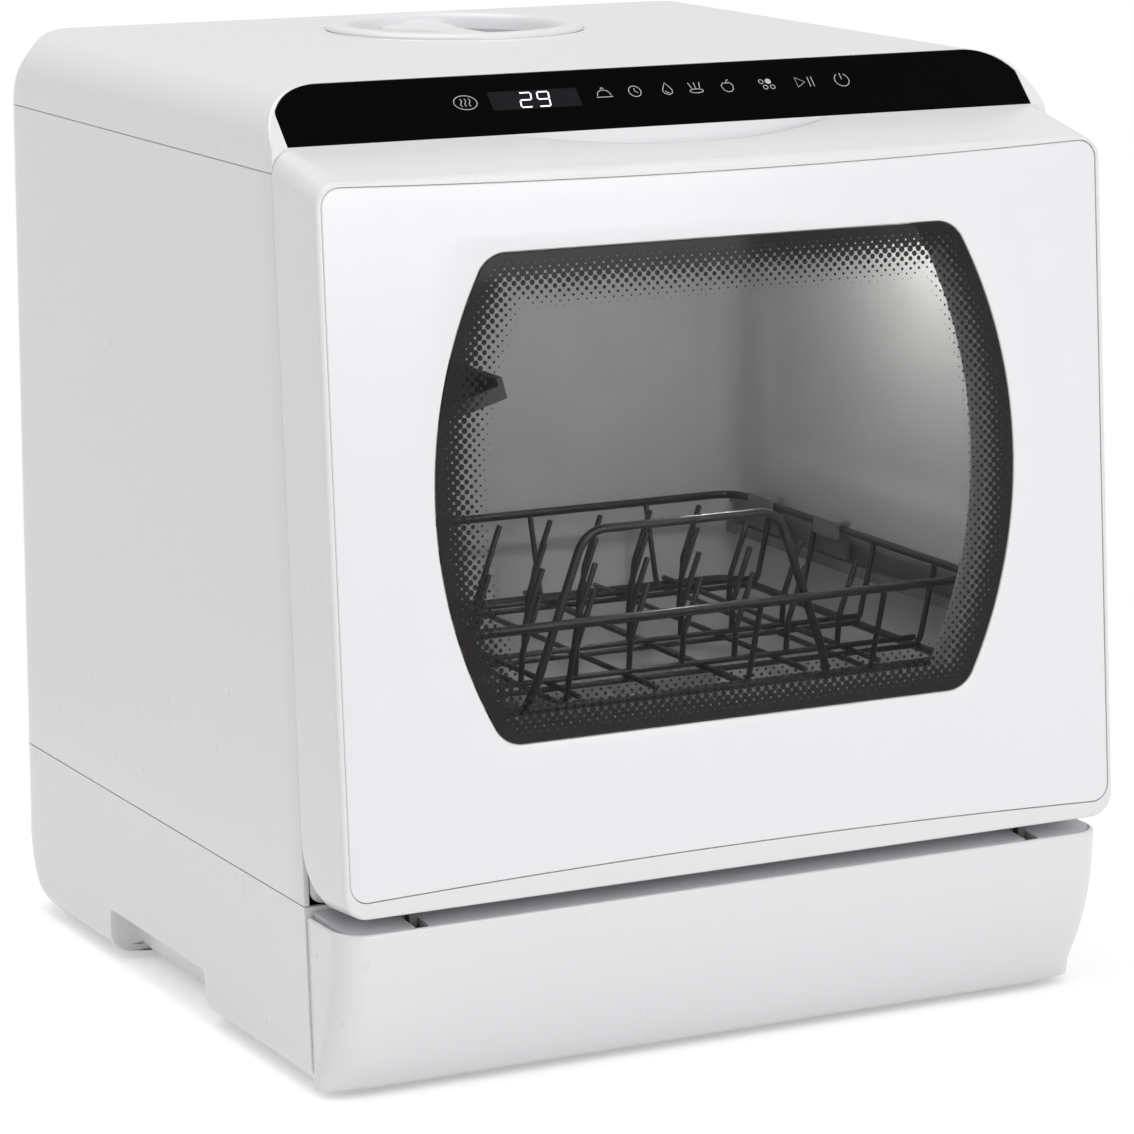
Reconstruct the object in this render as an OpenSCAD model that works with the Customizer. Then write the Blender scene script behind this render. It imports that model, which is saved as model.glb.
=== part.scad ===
// Countertop dishwasher: a moulded casing with a drop-down windowed door, a slide-out
// wire rack, two spray arms, a sump with its filters, and a tank filled through the top.
// Millimetres, +Z up, the front faces -Y, the machine stands on z = 0.

/* [Casing] */
// Width over the side panels
body_w = 420; // [400:2:460]
// Depth from the foot of the door to the back
body_d = 422; // [410:2:460]
// Height of the top cover
body_h = 468; // [460:1:480]
// How far the front leans back from the vertical, in degrees
lean = 4.5; // [3:0.5:6]
// Wall of the moulded casing
wall = 3; // [2:0.5:4]
// Radius along the long edges of the top
shoulder_r = 40; // [30:2:50]
// Radius of the casing's back corners, seen from above
back_r = 25; // [16:1:30]
// Radius of the base under the back
heel_r = 38; // [24:2:50]
// Height of the seam between base and side panels
base_seam = 91; // [90:1:94]
// How far the seam under the top cover lies below its top
seam_drop = 37; // [34:1:42]
// Gap left at every seam of the casing
seam = 0.4; // [0.2:0.1:0.8]

/* [Base] */
// Height of the rubber feet
foot_h = 4; // [3:0.5:8]
// Radius of a foot
foot_r = 11; // [8:1:14]
// Height of the lip under the door
lip_z = 86; // [84:0.5:88]
// How far the lip stays behind the foot of the door
lip_back = 5.5; // [4:0.5:9]
// How far the skirt curls back at its foot
skirt_curl = 29; // [10:1:32]
// Distance of the feet from the sides
foot_in = 42; // [30:1:60]
// Length of the carrying notch in each side
notch_l = 124; // [90:2:150]
// Height of the carrying notch
notch_h = 24; // [14:1:30]

/* [Door] */
// Thickness of the door, square to its face
door_t = 46.8; // [44:0.2:50]
// Height of the door's lower edge, along its face
door_h0 = 95.3; // [95:0.1:96.5]
// How far the top of the door falls from its back edge to its face
door_drop = 14.6; // [13:0.1:17]
// Wall of the door shell
door_wall = 2.5; // [2:0.25:3.5]
// Corner radius of the door, seen from the front
door_r = 12; // [8:1:18]
// Radius that lets the lower back edge swing past the casing
door_heel_r = 20; // [16:1:24]
// Thickness of the front plate
plate_t = 2.4; // [1.5:0.1:3]
// Margin of bare shell beside the front plate
plate_side = 3; // [2:0.5:6]
// Margin of bare shell below the front plate
plate_foot = 8; // [5:0.5:11]
// How far the plate's upper and lower edges bow in
plate_bow = 3.5; // [1:0.5:6]
// Half length of the finger scoop in the top of the door
grip_half = 83; // [60:1:110]
// Depth of the finger scoop from the back edge
grip_deep = 22; // [14:1:26]

/* [Window] */
// Distance of the window's middle from each side of the door
win_side = 54; // [46:1:70]
// Distance of the window from the foot of the door
win_foot = 72.7; // [70:0.1:90]
// Distance of the window from the top of the door
win_head = 36; // [34:0.5:50]
// Radius of the window's bulging sides
win_side_r = 225; // [190:5:400]
// Radius of the window's corners
win_corner_r = 16; // [8:1:22]
// Thickness of each pane
pane_t = 3; // [2:0.25:4]
// Width of the rim of a pane behind its frame
pane_lap = 6; // [4:0.5:8]

/* [Hinge] */
// Depth of the hinge pin behind the door's face
pin_deep = 9.5; // [9:0.25:11]
// Height of the hinge pin, along the door's face
pin_h = 100; // [99.75:0.25:101]
// Radius of the hinge pin
pin_r = 2.5; // [2:0.1:2.6]
// Distance of each hinge from the side of the casing
hinge_in = 42.5; // [38:0.5:60]
// Thickness of the hinge bracket
bracket_t = 4; // [3:0.5:5]

/* [Tub] */
// Distance of the tub's inside from the side of the casing
tub_side = 22; // [20:0.5:24]
// Height of the tub's floor
tub_floor = 110; // [108:0.5:112]
// How far the tub's ceiling lies below the top of the casing
tub_drop = 60; // [56:0.5:64]
// Distance of the tub's back wall from the back of the casing
tub_behind = 71; // [68:1:76]
// Wall of the tub
tub_wall = 2.5; // [1.5:0.25:3]
// Corner radius of the tub
tub_r = 18; // [12:1:24]
// Height of the sill of the tub's mouth
sill = 123; // [121:0.5:126]
// Thickness of the seal round the mouth
seal_t = 5; // [4:0.5:6]
// Width of the seal round the mouth
seal_w = 6; // [4:0.5:7]

/* [Rack] */
// Radius of the rack's frame wire
frame_wire = 2.2; // [1.8:0.1:2.8]
// Radius of the thin rack wire
thin_wire = 1.5; // [1.2:0.1:1.8]
// Height of the rack's floor
rack_z = 160; // [156:1:166]
// Height of the rack's top rail
rack_top = 204; // [198:1:212]
// How far the rack's top rail lies behind the foot of the door
rack_setback = 78; // [73:1:83]
// How far the rack's floor is set in from its top rail
rack_in = 13; // [8:1:16]
// Height of the arch at the front of the rack
arch_top = 248; // [236:1:256]
// Reach of the cup shelf from its hinge
shelf_reach = 100; // [80:2:108]
// How much shorter the cup shelf is than the rack
shelf_short = 101; // [90:1:130]
// Tilt of the cup shelf at rest, in degrees
shelf_tilt = 16; // [8:1:20]
// Height of the cup shelf's hinge
shelf_z = 286; // [280:1:288]

/* [Water] */
// Length of each wing of the lower spray arm
arm_reach = 132; // [110:2:136]
// Length of each wing of the upper spray arm
top_arm_reach = 118; // [90:2:128]
// Radius of the filter cup
cup_r = 25.7; // [20:0.1:28]
// Radius of the sump under the floor
sump_r = 66; // [62:1:68]
// Radius of the fill cap
cap_r = 67; // [58:1:72]
// Distance of the fill cap's middle from the back of the casing
cap_behind = 110; // [106:1:140]

/* [Control strip] */
// How far the foot of the control strip lies below the top of the casing
strip_drop = 26; // [24:1:30]
// Thickness of the black fascia
fascia_t = 2; // [1.5:0.25:3]
// Distance of the black fascia from the sides of the casing
fascia_in = 12; // [10:1:40]

/* [Hidden] */

half_w = body_w / 2;
half_d = body_d / 2;
door_y0 = -half_d - door_h0 * sin(lean);
run = 0.3;
far = 700;
top_seam = body_h - seam_drop;
strip_z = body_h - strip_drop;
tub_half = half_w - tub_side;
tub_top = body_h - tub_drop;
tub_back = half_d - tub_behind;
rack_front = rack_setback - half_d;
hinge_x = half_w - hinge_in;
cap_y = half_d - cap_behind;
fascia_half = half_w - fascia_in;
win_half = half_w - win_side;
face_gap = 0.5;
back_gap = door_t - face_gap;
door_top_h = (strip_z - seam + back_gap * sin(lean)) / cos(lean);
door_h1 = door_top_h - door_drop;
win_h = door_h1 - door_h0 - win_foot - win_head;
win_mid = door_h0 + win_foot + win_h / 2;
pin_y = door_y0 + pin_deep * cos(lean) + pin_h * sin(lean);
pin_z = pin_h * cos(lean) - pin_deep * sin(lean);
lip_y = -half_d + lip_back;
arc_n = 8;

function lean_y(d, h) = door_y0 + d * cos(lean) + h * sin(lean);
function lean_z(d, h) = h * cos(lean) - d * sin(lean);
function face_y(z) = door_y0 + door_t / cos(lean) + z * tan(lean);
function arc(c, r, a0, a1, n = arc_n) =
    [for (i = [0:n]) let (a = a0 + (a1 - a0) * i / n) c + r * [cos(a), sin(a)]];
function box_outline(w, h, r) = concat(
    arc([w / 2 - r, h / 2 - r], r, 0, 90), arc([r - w / 2, h / 2 - r], r, 90, 180),
    arc([r - w / 2, r - h / 2], r, 180, 270), arc([w / 2 - r, r - h / 2], r, 270, 360));

// Places things on the leaning front: x across, y into the machine, z up along the face.
module on_face() translate([0, door_y0, 0]) rotate([-lean, 0, 0]) children();
// Extrudes a y-z outline along x.
module along_x(x0, x1) translate([x0, 0, 0]) rotate([90, 0, 90]) linear_extrude(x1 - x0) children();
// Extrudes an x-z outline along y.
module along_y(y0, y1) translate([0, y1, 0]) rotate([90, 0, 0]) linear_extrude(y1 - y0) children();
module rod(a, b, r, n = 16) {
    v = b - a;
    l = norm(v);
    translate(a) rotate([0, acos(v[2] / l), atan2(v[1], v[0])]) cylinder(h = l, r = r, $fn = n);
}
module both_sides() {
    children();
    mirror([1, 0, 0]) children();
}
module slab(z0, z1) {
    intersection() {
        children();
        translate([-far / 2, -far / 2, z0]) cube([far, far, z1 - z0]);
    }
}

// The casing's three outlines, each drawn in by i. Their intersection is the casing.
function casing_plan(i, front) = concat(
    [[-half_w + i, front], [half_w - i, front]],
    arc([half_w - back_r, half_d - back_r], back_r - i, 0, 90),
    arc([back_r - half_w, half_d - back_r], back_r - i, 90, 180));
function casing_front(i, n = arc_n) = concat(
    arc([half_w - shoulder_r, body_h - shoulder_r], shoulder_r - i, 0, 90, n),
    arc([shoulder_r - half_w, body_h - shoulder_r], shoulder_r - i, 90, 180, n),
    arc([12 - half_w, foot_h + 12], 12 - i, 180, 270),
    arc([half_w - 12, foot_h + 12], 12 - i, 270, 360));
// ahead is how far the front is moved out, deep how far the sloping strip is moved in.
function casing_side(i, ahead, deep) = concat(
    [[face_y(foot_h + i) - ahead, foot_h + i]],
    arc([half_d - heel_r, foot_h + heel_r], heel_r - i, 270, 360),
    arc([half_d - 14, body_h - 14], 14 - i, 0, 90),
    [[face_y(strip_z) + strip_drop + deep * sqrt(2) - i, body_h - i],
     [face_y(strip_z) - ahead, strip_z - deep * sqrt(2) - ahead]]);

module casing(i = 0, ahead = 0, deep = 0) {
    intersection() {
        along_x(-half_w + i, half_w - i) polygon(casing_side(i, ahead, deep));
        along_y(-half_d - far / 4, half_d) polygon(casing_front(i));
        linear_extrude(far) polygon(casing_plan(i, -half_d - far / 4));
    }
}
// The casing's wall between two heights, open to the front.
module casing_wall(z0, z1) {
    slab(z0, z1) difference() {
        casing();
        casing(wall, far / 8);
    }
}
module base_tray() color("gainsboro") {
    difference() {
        slab(foot_h, base_seam - seam) difference() {
            casing();
            casing(wall, -wall);
        }
        both_sides() notch_block(0);
        both_sides() for (y = foot_rows) translate([half_w - foot_in, y, 0])
            cylinder(h = foot_h + wall + 1, r = peg_r + 0.1, $fn = 24);
        for (x = vent_row) translate([x, -30, 0]) cube([3, 60, foot_h + wall + 1]);
    }
    both_sides() intersection() {
        difference() {
            notch_block(wall);
            notch_block(0);
        }
        casing(wall - 0.5);
    }
    for (p = board_posts) translate([p[0], p[1], foot_h + wall - 0.5])
        cylinder(h = board_z - foot_h - wall + 0.5, r = 3.5, $fn = 20);
}
peg_r = 4;
foot_rows = [81 - half_d, half_d - 61];
vent_row = [-60:9:60];
notch_deep = 14;
board_x = 32 - half_w;
board_y = half_d - 173;
board_z = 20;
board_posts = [for (x = [6, 74], y = [6, 94]) [board_x + x, board_y + y]];
module notch_block(g) {
    translate([half_w - notch_deep - g, -45 - g, foot_h - 1])
        cube([notch_deep + g + 1, notch_l + 2 * g, notch_h + g]);
}

skirt_half = half_w - 1;
skirt_r = 14;
skirt_n = 14;
function skirt_y(z, g) = lip_y + g + skirt_curl * pow(max(0, (lip_z - z) / (lip_z - foot_h)), 2.2);
function skirt_side(g) = concat(
    [for (i = [0:skirt_n]) let (z = foot_h + g + (lip_z - foot_h - g) * i / skirt_n) [skirt_y(z, g), z]],
    g > 0 ? [[lip_y + g, lip_z + 20], [half_d, lip_z + 20], [half_d, foot_h + g]]
          : [[face_y(lip_z) - seam, lip_z], [face_y(foot_h) - seam, foot_h]]);
function skirt_plan(g) = concat(
    arc([skirt_r - skirt_half, lip_y + skirt_r], skirt_r - g, 180, 270),
    arc([skirt_half - skirt_r, lip_y + skirt_r], skirt_r - g, 270, 360),
    [[skirt_half - g, half_d], [g - skirt_half, half_d]]);
module skirt_body(g) {
    intersection() {
        along_x(g - skirt_half, skirt_half - g) polygon(skirt_side(g));
        linear_extrude(far) polygon(skirt_plan(g));
    }
}
module front_skirt() color("whitesmoke") {
    difference() {
        skirt_body(0);
        skirt_body(wall);
    }
}
ledge_rise = 2.5;
module hinge_ledge() color("darkgray") {
    difference() {
        intersection() {
            along_x(-half_w, half_w) polygon([
                [lip_y, lip_z - wall], [face_y(lip_z) - seam, lip_z - wall],
                [face_y(lip_z) - seam, lip_z + ledge_rise], [lip_y + wall, lip_z]]);
            linear_extrude(far) polygon(skirt_plan(wall + seam));
        }
        both_sides() translate([hinge_x - bracket_t / 2 - 1.5, lip_y, lip_z - wall - 1])
            cube([bracket_t + 3, pin_y + 16 - lip_y, wall + ledge_rise + 2]);
    }
}
module rubber_feet() color("dimgray") {
    both_sides() for (y = foot_rows) translate([half_w - foot_in, y, 0]) {
        cylinder(h = foot_h - 0.1, r = foot_r, $fn = 40);
        cylinder(h = foot_h + wall, r = peg_r, $fn = 24);
    }
}

back_half = half_w - back_r - 7;
screw_r = 1.6;
screw_x = back_half - 9;
screw_rows = [base_seam + 16, (base_seam + top_seam) / 2, top_seam - 16];
// A tab of the side panel lies behind the back panel's edge and takes a screw.
module screw_tab(z) {
    y = half_d - wall - run - 4;
    difference() {
        union() {
            translate([screw_x - 8, y, z - 8]) cube([25, 4, 16]);
            translate([back_half + 1.4, y, z - 8]) cube([6, 6, 16]);
        }
        translate([screw_x, half_d, z]) rotate([90, 0, 0]) cylinder(h = 20, r = screw_r + 0.05, $fn = 16);
    }
}
module side_panel() {
    difference() {
        casing_wall(base_seam, top_seam - seam);
        translate([-far, -far / 2, 0]) cube([far + back_half + seam, far, far]);
    }
    for (z = screw_rows) screw_tab(z);
}
module left_panel() color("lightgray") mirror([1, 0, 0]) side_panel();
module right_panel() color("lightgray") side_panel();

bay_w = 72;
bay_h = 44;
bay_x = half_w - 72;
bay_z = 160;
bay_deep = 24;
drain_x = bay_x - 24;
inlet_x = bay_x;
gland_x = bay_x + 24;
module bay_block(g) {
    translate([bay_x - bay_w / 2 - g, half_d - bay_deep - g, bay_z - bay_h / 2 - g])
        cube([bay_w + 2 * g, bay_deep + g + (g > 0 ? 0 : 1), bay_h + 2 * g]);
}
module back_panel() color("silver") {
    difference() {
        union() {
            intersection() {
                casing_wall(base_seam, top_seam - seam);
                translate([-back_half, 0, 0]) cube([2 * back_half, far, far]);
            }
            bay_block(2);
        }
        bay_block(0);
        for (x = [drain_x, inlet_x, gland_x]) translate([x, half_d, bay_z]) rotate([90, 0, 0])
            cylinder(h = bay_deep + 5, r = port_r + 0.1, $fn = 32);
        for (k = [0:4]) translate([fan_x - 24, half_d - wall - 1, fan_z - 30 + 13 * k])
            cube([42, wall + 2, 5]);
        both_sides() for (z = screw_rows) translate([screw_x, half_d + 1, z]) rotate([90, 0, 0]) {
            cylinder(h = 2.8, r = 4, $fn = 24);
            cylinder(h = wall + 2, r = screw_r + 0.2, $fn = 16);
        }
    }
}
module casing_screws() color("slategray") {
    both_sides() for (z = screw_rows) translate([screw_x, half_d - 0.3, z]) rotate([90, 0, 0]) {
        cylinder(h = 1.4, r = 3.8, $fn = 24);
        cylinder(h = 10, r = screw_r, $fn = 16);
    }
}
port_r = 8;
module port(x, bore) {
    translate([x, half_d - 3, bay_z]) rotate([90, 0, 0]) difference() {
        union() {
            cylinder(h = bay_deep + 12, r = port_r, $fn = 32);
            for (k = [0:2]) translate([0, 0, 2 + 5 * k]) cylinder(h = 2, r = port_r + 1.2, $fn = 32);
            translate([0, 0, bay_deep - 4.8]) cylinder(h = 1.8, r = port_r + 3, $fn = 32);
        }
        translate([0, 0, -1]) cylinder(h = bay_deep + 14, r = bore, $fn = 32);
    }
}
module drain_port() color("dimgray") port(drain_x, 5.5);
module inlet_port() color("white") port(inlet_x, 5);
module cord_gland() color("black") {
    translate([gland_x, half_d - bay_deep + 3, bay_z]) rotate([90, 0, 0]) difference() {
        union() {
            cylinder(h = 2.7, r = port_r + 3, $fn = 32);
            cylinder(h = 10, r = port_r, $fn = 32);
        }
        translate([0, 0, -1]) cylinder(h = 12, r = 3.6, $fn = 24);
    }
}

strip_len = strip_drop * sqrt(2);
strip_wall = 2.5;
// Places things on the sloping strip: x across, y up the slope, z out of it.
module on_strip() translate([0, face_y(strip_z), strip_z]) rotate([45, 0, 0]) children();
module fascia_block(g) {
    on_strip() translate([-fascia_half - g, -g, -fascia_t - g])
        cube([2 * (fascia_half + g), strip_len + 20, fascia_t + g + 5]);
}
display_x = -67;
display_half = 24;
display_v = strip_len * 0.52;
module display_block(g, n0, n1) {
    on_strip() translate([display_x - display_half - g, display_v - 7 - g, n0])
        cube([2 * (display_half + g), 14 + 2 * g, n1 - n0]);
}
module top_cover() color("whitesmoke") {
    difference() {
        slab(top_seam, body_h + 1) difference() {
            casing();
            casing(wall, -wall, fascia_t + strip_wall);
        }
        fascia_block(0.15);
        display_block(0.5, -20, 0);
        translate([0, cap_y, body_h - 20]) cylinder(h = 40, r = cap_r - 6, $fn = 96);
    }
}
module control_fascia() color("black") {
    intersection() {
        fascia_block(0);
        casing();
    }
}
module display_module() color("darkslategray") display_block(0, -fascia_t - 7, -fascia_t - 0.3);
module touch_board() color("seagreen") {
    difference() {
        on_strip() translate([48 - fascia_half, 7, -fascia_t - strip_wall - 2])
            cube([2 * (fascia_half - 48), strip_len - 14, 1.6]);
        display_block(1, -20, 0);
    }
}

tub_w = 2 * tub_half;
mouth_h0 = (sill + door_t * sin(lean)) / cos(lean);
mouth_h1 = (tub_top + door_t * sin(lean)) / cos(lean);
mouth_mid = (mouth_h0 + mouth_h1) / 2;
sump_y = -35;
hub_y = -5;
cup_y = sump_y - 30;
fan_x = half_w - 52;
fan_z = tub_top - 56;
fan_duct = 14;
pipe_r = 7;
module behind_face(d) {
    along_x(-far, far) polygon([
        [lean_y(d, 0), lean_z(d, 0)], [far, 0], [far, far], [lean_y(d, far), lean_z(d, far)]]);
}
module tub_tunnel(g, y0, y1, low) {
    h = tub_top - low;
    along_y(y0, y1) translate([0, low + h / 2]) polygon(box_outline(tub_w + 2 * g, h + 2 * g, tub_r + g));
}
module tub() color("silver") {
    difference() {
        union() {
            intersection() {
                behind_face(door_t);
                tub_tunnel(tub_wall, -half_d, tub_back + tub_wall, tub_floor);
            }
            slab(base_seam, top_seam - seam) on_face() translate([wall + seam - half_w, door_t, 0])
                cube([body_w - 2 * (wall + seam), wall, far]);
        }
        intersection() {
            behind_face(door_t + wall);
            tub_tunnel(0, -half_d, tub_back, tub_floor);
        }
        tub_tunnel(0, -half_d - 50, tub_back / 2, sill);
        translate([0, sump_y, tub_floor - 10]) cylinder(h = 20, r = sump_r - 6, $fn = 64);
        translate([0, 0, tub_top - 5]) cylinder(h = 20, r = pipe_r + 0.5, $fn = 32);
        translate([fan_x, tub_back - 5, fan_z]) rotate([-90, 0, 0])
            cylinder(h = 20, r = fan_duct + 0.5, $fn = 32);
        on_face() translate([-8, door_t - 1, latch_h - 2]) cube([16, wall + 2, 9.5]);
    }
}
module seal_outline(g) {
    translate([0, mouth_mid]) polygon(box_outline(tub_w + 2 * g, mouth_h1 - mouth_h0 + 2 * g, tub_r + g));
}
module face_plate(d0, d1) on_face() along_y(d0, d1) children();
module tub_seal() color("dimgray") {
    face_plate(door_t - seal_t, door_t - 0.05) difference() {
        seal_outline(1 + seal_w);
        seal_outline(1);
    }
}

rail_z = 186;
rail_in = 6.5;
rail_front = face_y(rail_z) + wall + 4;
module rack_rails() color("gray") {
    both_sides() {
        translate([tub_half - rail_in, rail_front, rail_z - 6])
            cube([rail_in - run, tub_back - 8 - rail_front, 6]);
        translate([tub_half - rail_in + 2, rail_front, rail_z + glide_h + 2 * run])
            cube([rail_in - run - 2, tub_back - 8 - rail_front, 3]);
        translate([tub_half - 2, rail_front, rail_z])
            cube([2 - run, tub_back - 8 - rail_front, glide_h + 2 * run]);
    }
}
module tub_lamp() color("lightyellow") {
    translate([tub_half - 68, -70, tub_top - 4]) cylinder(h = 4 - run, r = 12, $fn = 40);
}

sump_z = 40;
pump_z = sump_z + 13;
plate_z = tub_floor + run;
module sump() color("gray") {
    difference() {
        union() {
            translate([0, sump_y, sump_z])
                cylinder(h = tub_floor - tub_wall - run - sump_z, r = sump_r, $fn = 72);
            translate([0, sump_y, tub_floor - tub_wall - run - 3])
                cylinder(h = 3, r = sump_r + 6, $fn = 72);
            translate([-sump_r - 4, sump_y, pump_z]) rotate([0, 90, 0])
                cylinder(h = 2 * sump_r + 8, r = 9, $fn = 32);
        }
        translate([0, sump_y, sump_z + tub_wall]) cylinder(h = far, r = sump_r - 3, $fn = 72);
        translate([-sump_r - 5, sump_y, pump_z]) rotate([0, 90, 0])
            cylinder(h = 2 * sump_r + 10, r = 6.5, $fn = 32);
    }
}
module filter_plate() color("lightslategray") {
    difference() {
        translate([0, sump_y, plate_z]) cylinder(h = 2, r = sump_r - 2, $fn = 72);
        translate([0, hub_y, 0]) cylinder(h = far, r = 13, $fn = 40);
        translate([0, cup_y, 0]) cylinder(h = far, r = cup_r + 0.5, $fn = 48);
        for (k = [-1, 1], a = [-40:20:40]) translate([0, sump_y, 0])
            rotate([0, 0, a + (k > 0 ? 0 : 180)]) translate([sump_r - 24, -2, 0]) cube([16, 4, far]);
    }
}
spindle_r = 6;
arm_z = tub_floor + 12;
module arm_hub() color("gray") {
    translate([0, hub_y, 0]) difference() {
        union() {
            translate([0, 0, sump_z + tub_wall + run])
                cylinder(h = arm_z - sump_z - tub_wall - run, r = 12, $fn = 40);
            translate([0, 0, arm_z - 1]) cylinder(h = 14, r = spindle_r, $fn = 32);
            translate([0, 0, arm_z + 11]) cylinder(h = 3, r = spindle_r + 3, $fn = 32);
        }
        translate([0, 0, sump_z + 12]) cylinder(h = arm_z + 8 - sump_z - 12, r = 3.5, $fn = 24);
    }
}
module motor(x0, l, r) {
    translate([x0, sump_y, pump_z]) rotate([0, 90, 0]) {
        cylinder(h = 12, r = r, $fn = 48);
        translate([0, 0, 11]) cylinder(h = l - 11, r = r - 5, $fn = 48);
        translate([0, 0, l - 1]) cylinder(h = 5, r = 5, $fn = 24);
        for (a = [0:45:315]) rotate([0, 0, a]) translate([r - 6, -1.5, 13]) cube([3, 3, l - 20]);
    }
}
module circulation_pump() color("dimgray") motor(sump_r + 4 + run, 72, 32);
module drain_pump() color("dimgray") mirror([1, 0, 0]) motor(sump_r + 4 + run, 52, 22);
heater_x = sump_r + 14;
heater_y = 12;
stub_y = sump_y + 32 + run;
module flow_heater() color("silver") {
    translate([heater_x, heater_y, pump_z - 6]) rotate([-90, 0, 0]) {
        cylinder(h = 84, r = 14, $fn = 40);
        translate([0, 0, stub_y - heater_y]) cylinder(h = heater_y - stub_y + 1, r = 8, $fn = 32);
        translate([0, 0, 84]) cylinder(h = 6, r = pipe_r + 1.5, $fn = 32);
    }
}
pipe_x = heater_x;
pipe_y = tub_back + tub_wall + pipe_r + 6;
pipe_top = tub_top + tub_wall + pipe_r + 6;
top_arm_z = tub_top - 17;
module feed_pipe() color("gray") {
    z0 = pump_z - 6;
    y0 = heater_y + 90.3;
    route = [[pipe_x, y0, z0], [pipe_x, pipe_y, z0], [pipe_x, pipe_y, pipe_top],
             [pipe_x, 0, pipe_top], [0, 0, pipe_top], [0, 0, top_arm_z + 10]];
    for (i = [0:len(route) - 2]) rod(route[i], route[i + 1], pipe_r, 32);
    for (i = [1:len(route) - 2]) translate(route[i]) sphere(r = pipe_r + 0.4, $fn = 32);
    translate([0, 0, top_arm_z - 3]) cylinder(h = 14, r = spindle_r, $fn = 32);
    translate([0, 0, top_arm_z - 4]) cylinder(h = 2.5, r = spindle_r + 3, $fn = 32);
}
tank_x0 = -screw_x + 9;
tank_x1 = pipe_x - pipe_r - 8;
tank_y0 = tub_back + tub_wall + 0.4;
tank_y1 = half_d - wall - 0.4;
tank_z0 = base_seam + 7;
tank_z1 = tub_top + 8;
spout_y = (tank_y0 + tank_y1) / 2 - 10;
spout_z = tank_z1 + 8;
module tank_block(g) {
    translate([tank_x0 + g, tank_y0 + g, tank_z0 + g])
        cube([tank_x1 - tank_x0 - 2 * g, tank_y1 - tank_y0 - 2 * g, tank_z1 - tank_z0 - 2 * g]);
}
module water_tank() color("white", 0.7) {
    difference() {
        tank_block(0);
        tank_block(2.5);
        translate([0, spout_y, tank_z1 - 5]) cylinder(h = 10, r = 7.8, $fn = 32);
    }
}
funnel_r = cap_r - 5;
module funnel_cup(g) {
    translate([0, cap_y, 0]) rotate_extrude($fn = 72) polygon([
        [0, spout_z - 7.5 + g], [14 - g, spout_z - 7.5 + g], [funnel_r - 12 - g, spout_z + 12 + g],
        [funnel_r - g, spout_z + 24 + g], [funnel_r - g, body_h - wall - run + g],
        [0, body_h - wall - run + g]]);
}
module fill_funnel() color("gray") {
    difference() {
        union() {
            funnel_cup(0);
            rod([0, cap_y, spout_z], [0, spout_y, spout_z], 6, 32);
            translate([0, spout_y, tank_z1 - 10]) cylinder(h = spout_z + 18 - tank_z1, r = 7.5, $fn = 32);
        }
        funnel_cup(2);
        rod([0, cap_y, spout_z], [0, spout_y, spout_z], 4, 32);
        translate([0, spout_y, tank_z1 - 11]) cylinder(h = spout_z + 13 - tank_z1, r = 5, $fn = 32);
    }
}
module drying_fan() color("dimgray") {
    y0 = tub_back + tub_wall + run;
    translate([fan_x, y0, fan_z]) rotate([-90, 0, 0]) difference() {
        union() {
            cylinder(h = 42, r = 36, $fn = 48);
            translate([0, 0, -tub_wall]) cylinder(h = 4, r = fan_duct, $fn = 32);
        }
        translate([0, 0, 10]) cylinder(h = 40, r = 30, $fn = 40);
        translate([0, 0, -5]) for (a = [0:60:300]) rotate([0, 0, a]) translate([3, -2, 0]) cube([8, 4, 20]);
    }
    translate([fan_x, y0 + 9.5, fan_z]) rotate([-90, 0, 0]) {
        cylinder(h = 30, r = 9, $fn = 32);
        for (a = [0:30:330]) rotate([0, 0, a]) translate([8, -0.8, 4]) cube([18, 1.6, 24]);
    }
}
module main_board() color("seagreen") {
    translate([board_x, board_y, board_z + 0.1]) {
        cube([80, 100, 1.6]);
        for (p = [[8, 20, 22, 26, 20], [36, 14, 16, 16, 26], [34, 46, 30, 14, 12], [12, 64, 18, 18, 16]])
            translate([p[0], p[1], 1.5]) cube([p[2], p[3], p[4]]);
        for (k = [0:3]) translate([62, 18 + 14 * k, 1.5]) cylinder(h = 14, r = 5, $fn = 24);
    }
}
module float_switch() color("orange") {
    translate([60, half_d - 61, foot_h + wall + 0.1]) {
        cylinder(h = 10, r = 17, $fn = 40);
        cylinder(h = 26, r = 5, $fn = 24);
    }
}

latch_h = mouth_h1 + seal_w + 5;
hook_t = 3.5;
module latch_catch() color("dimgray") {
    on_face() {
        d0 = door_t + wall + run;
        along_x(-13, 13) polygon([
            [d0, latch_h - 6.5], [d0 + 18, latch_h - 6.5], [d0 + 18, latch_h + 8],
            [d0 + 15, latch_h + 8], [d0 + 15, latch_h - 4.2], [d0, latch_h - 4.2]]);
        translate([-13, d0 + 5, latch_h - 2.4]) rotate([0, 90, 0]) cylinder(h = 26, r = 1.9, $fn = 24);
        both_sides() translate([10.5, d0, latch_h - 5]) cube([2.5, 12, 9]);
    }
}

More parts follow.
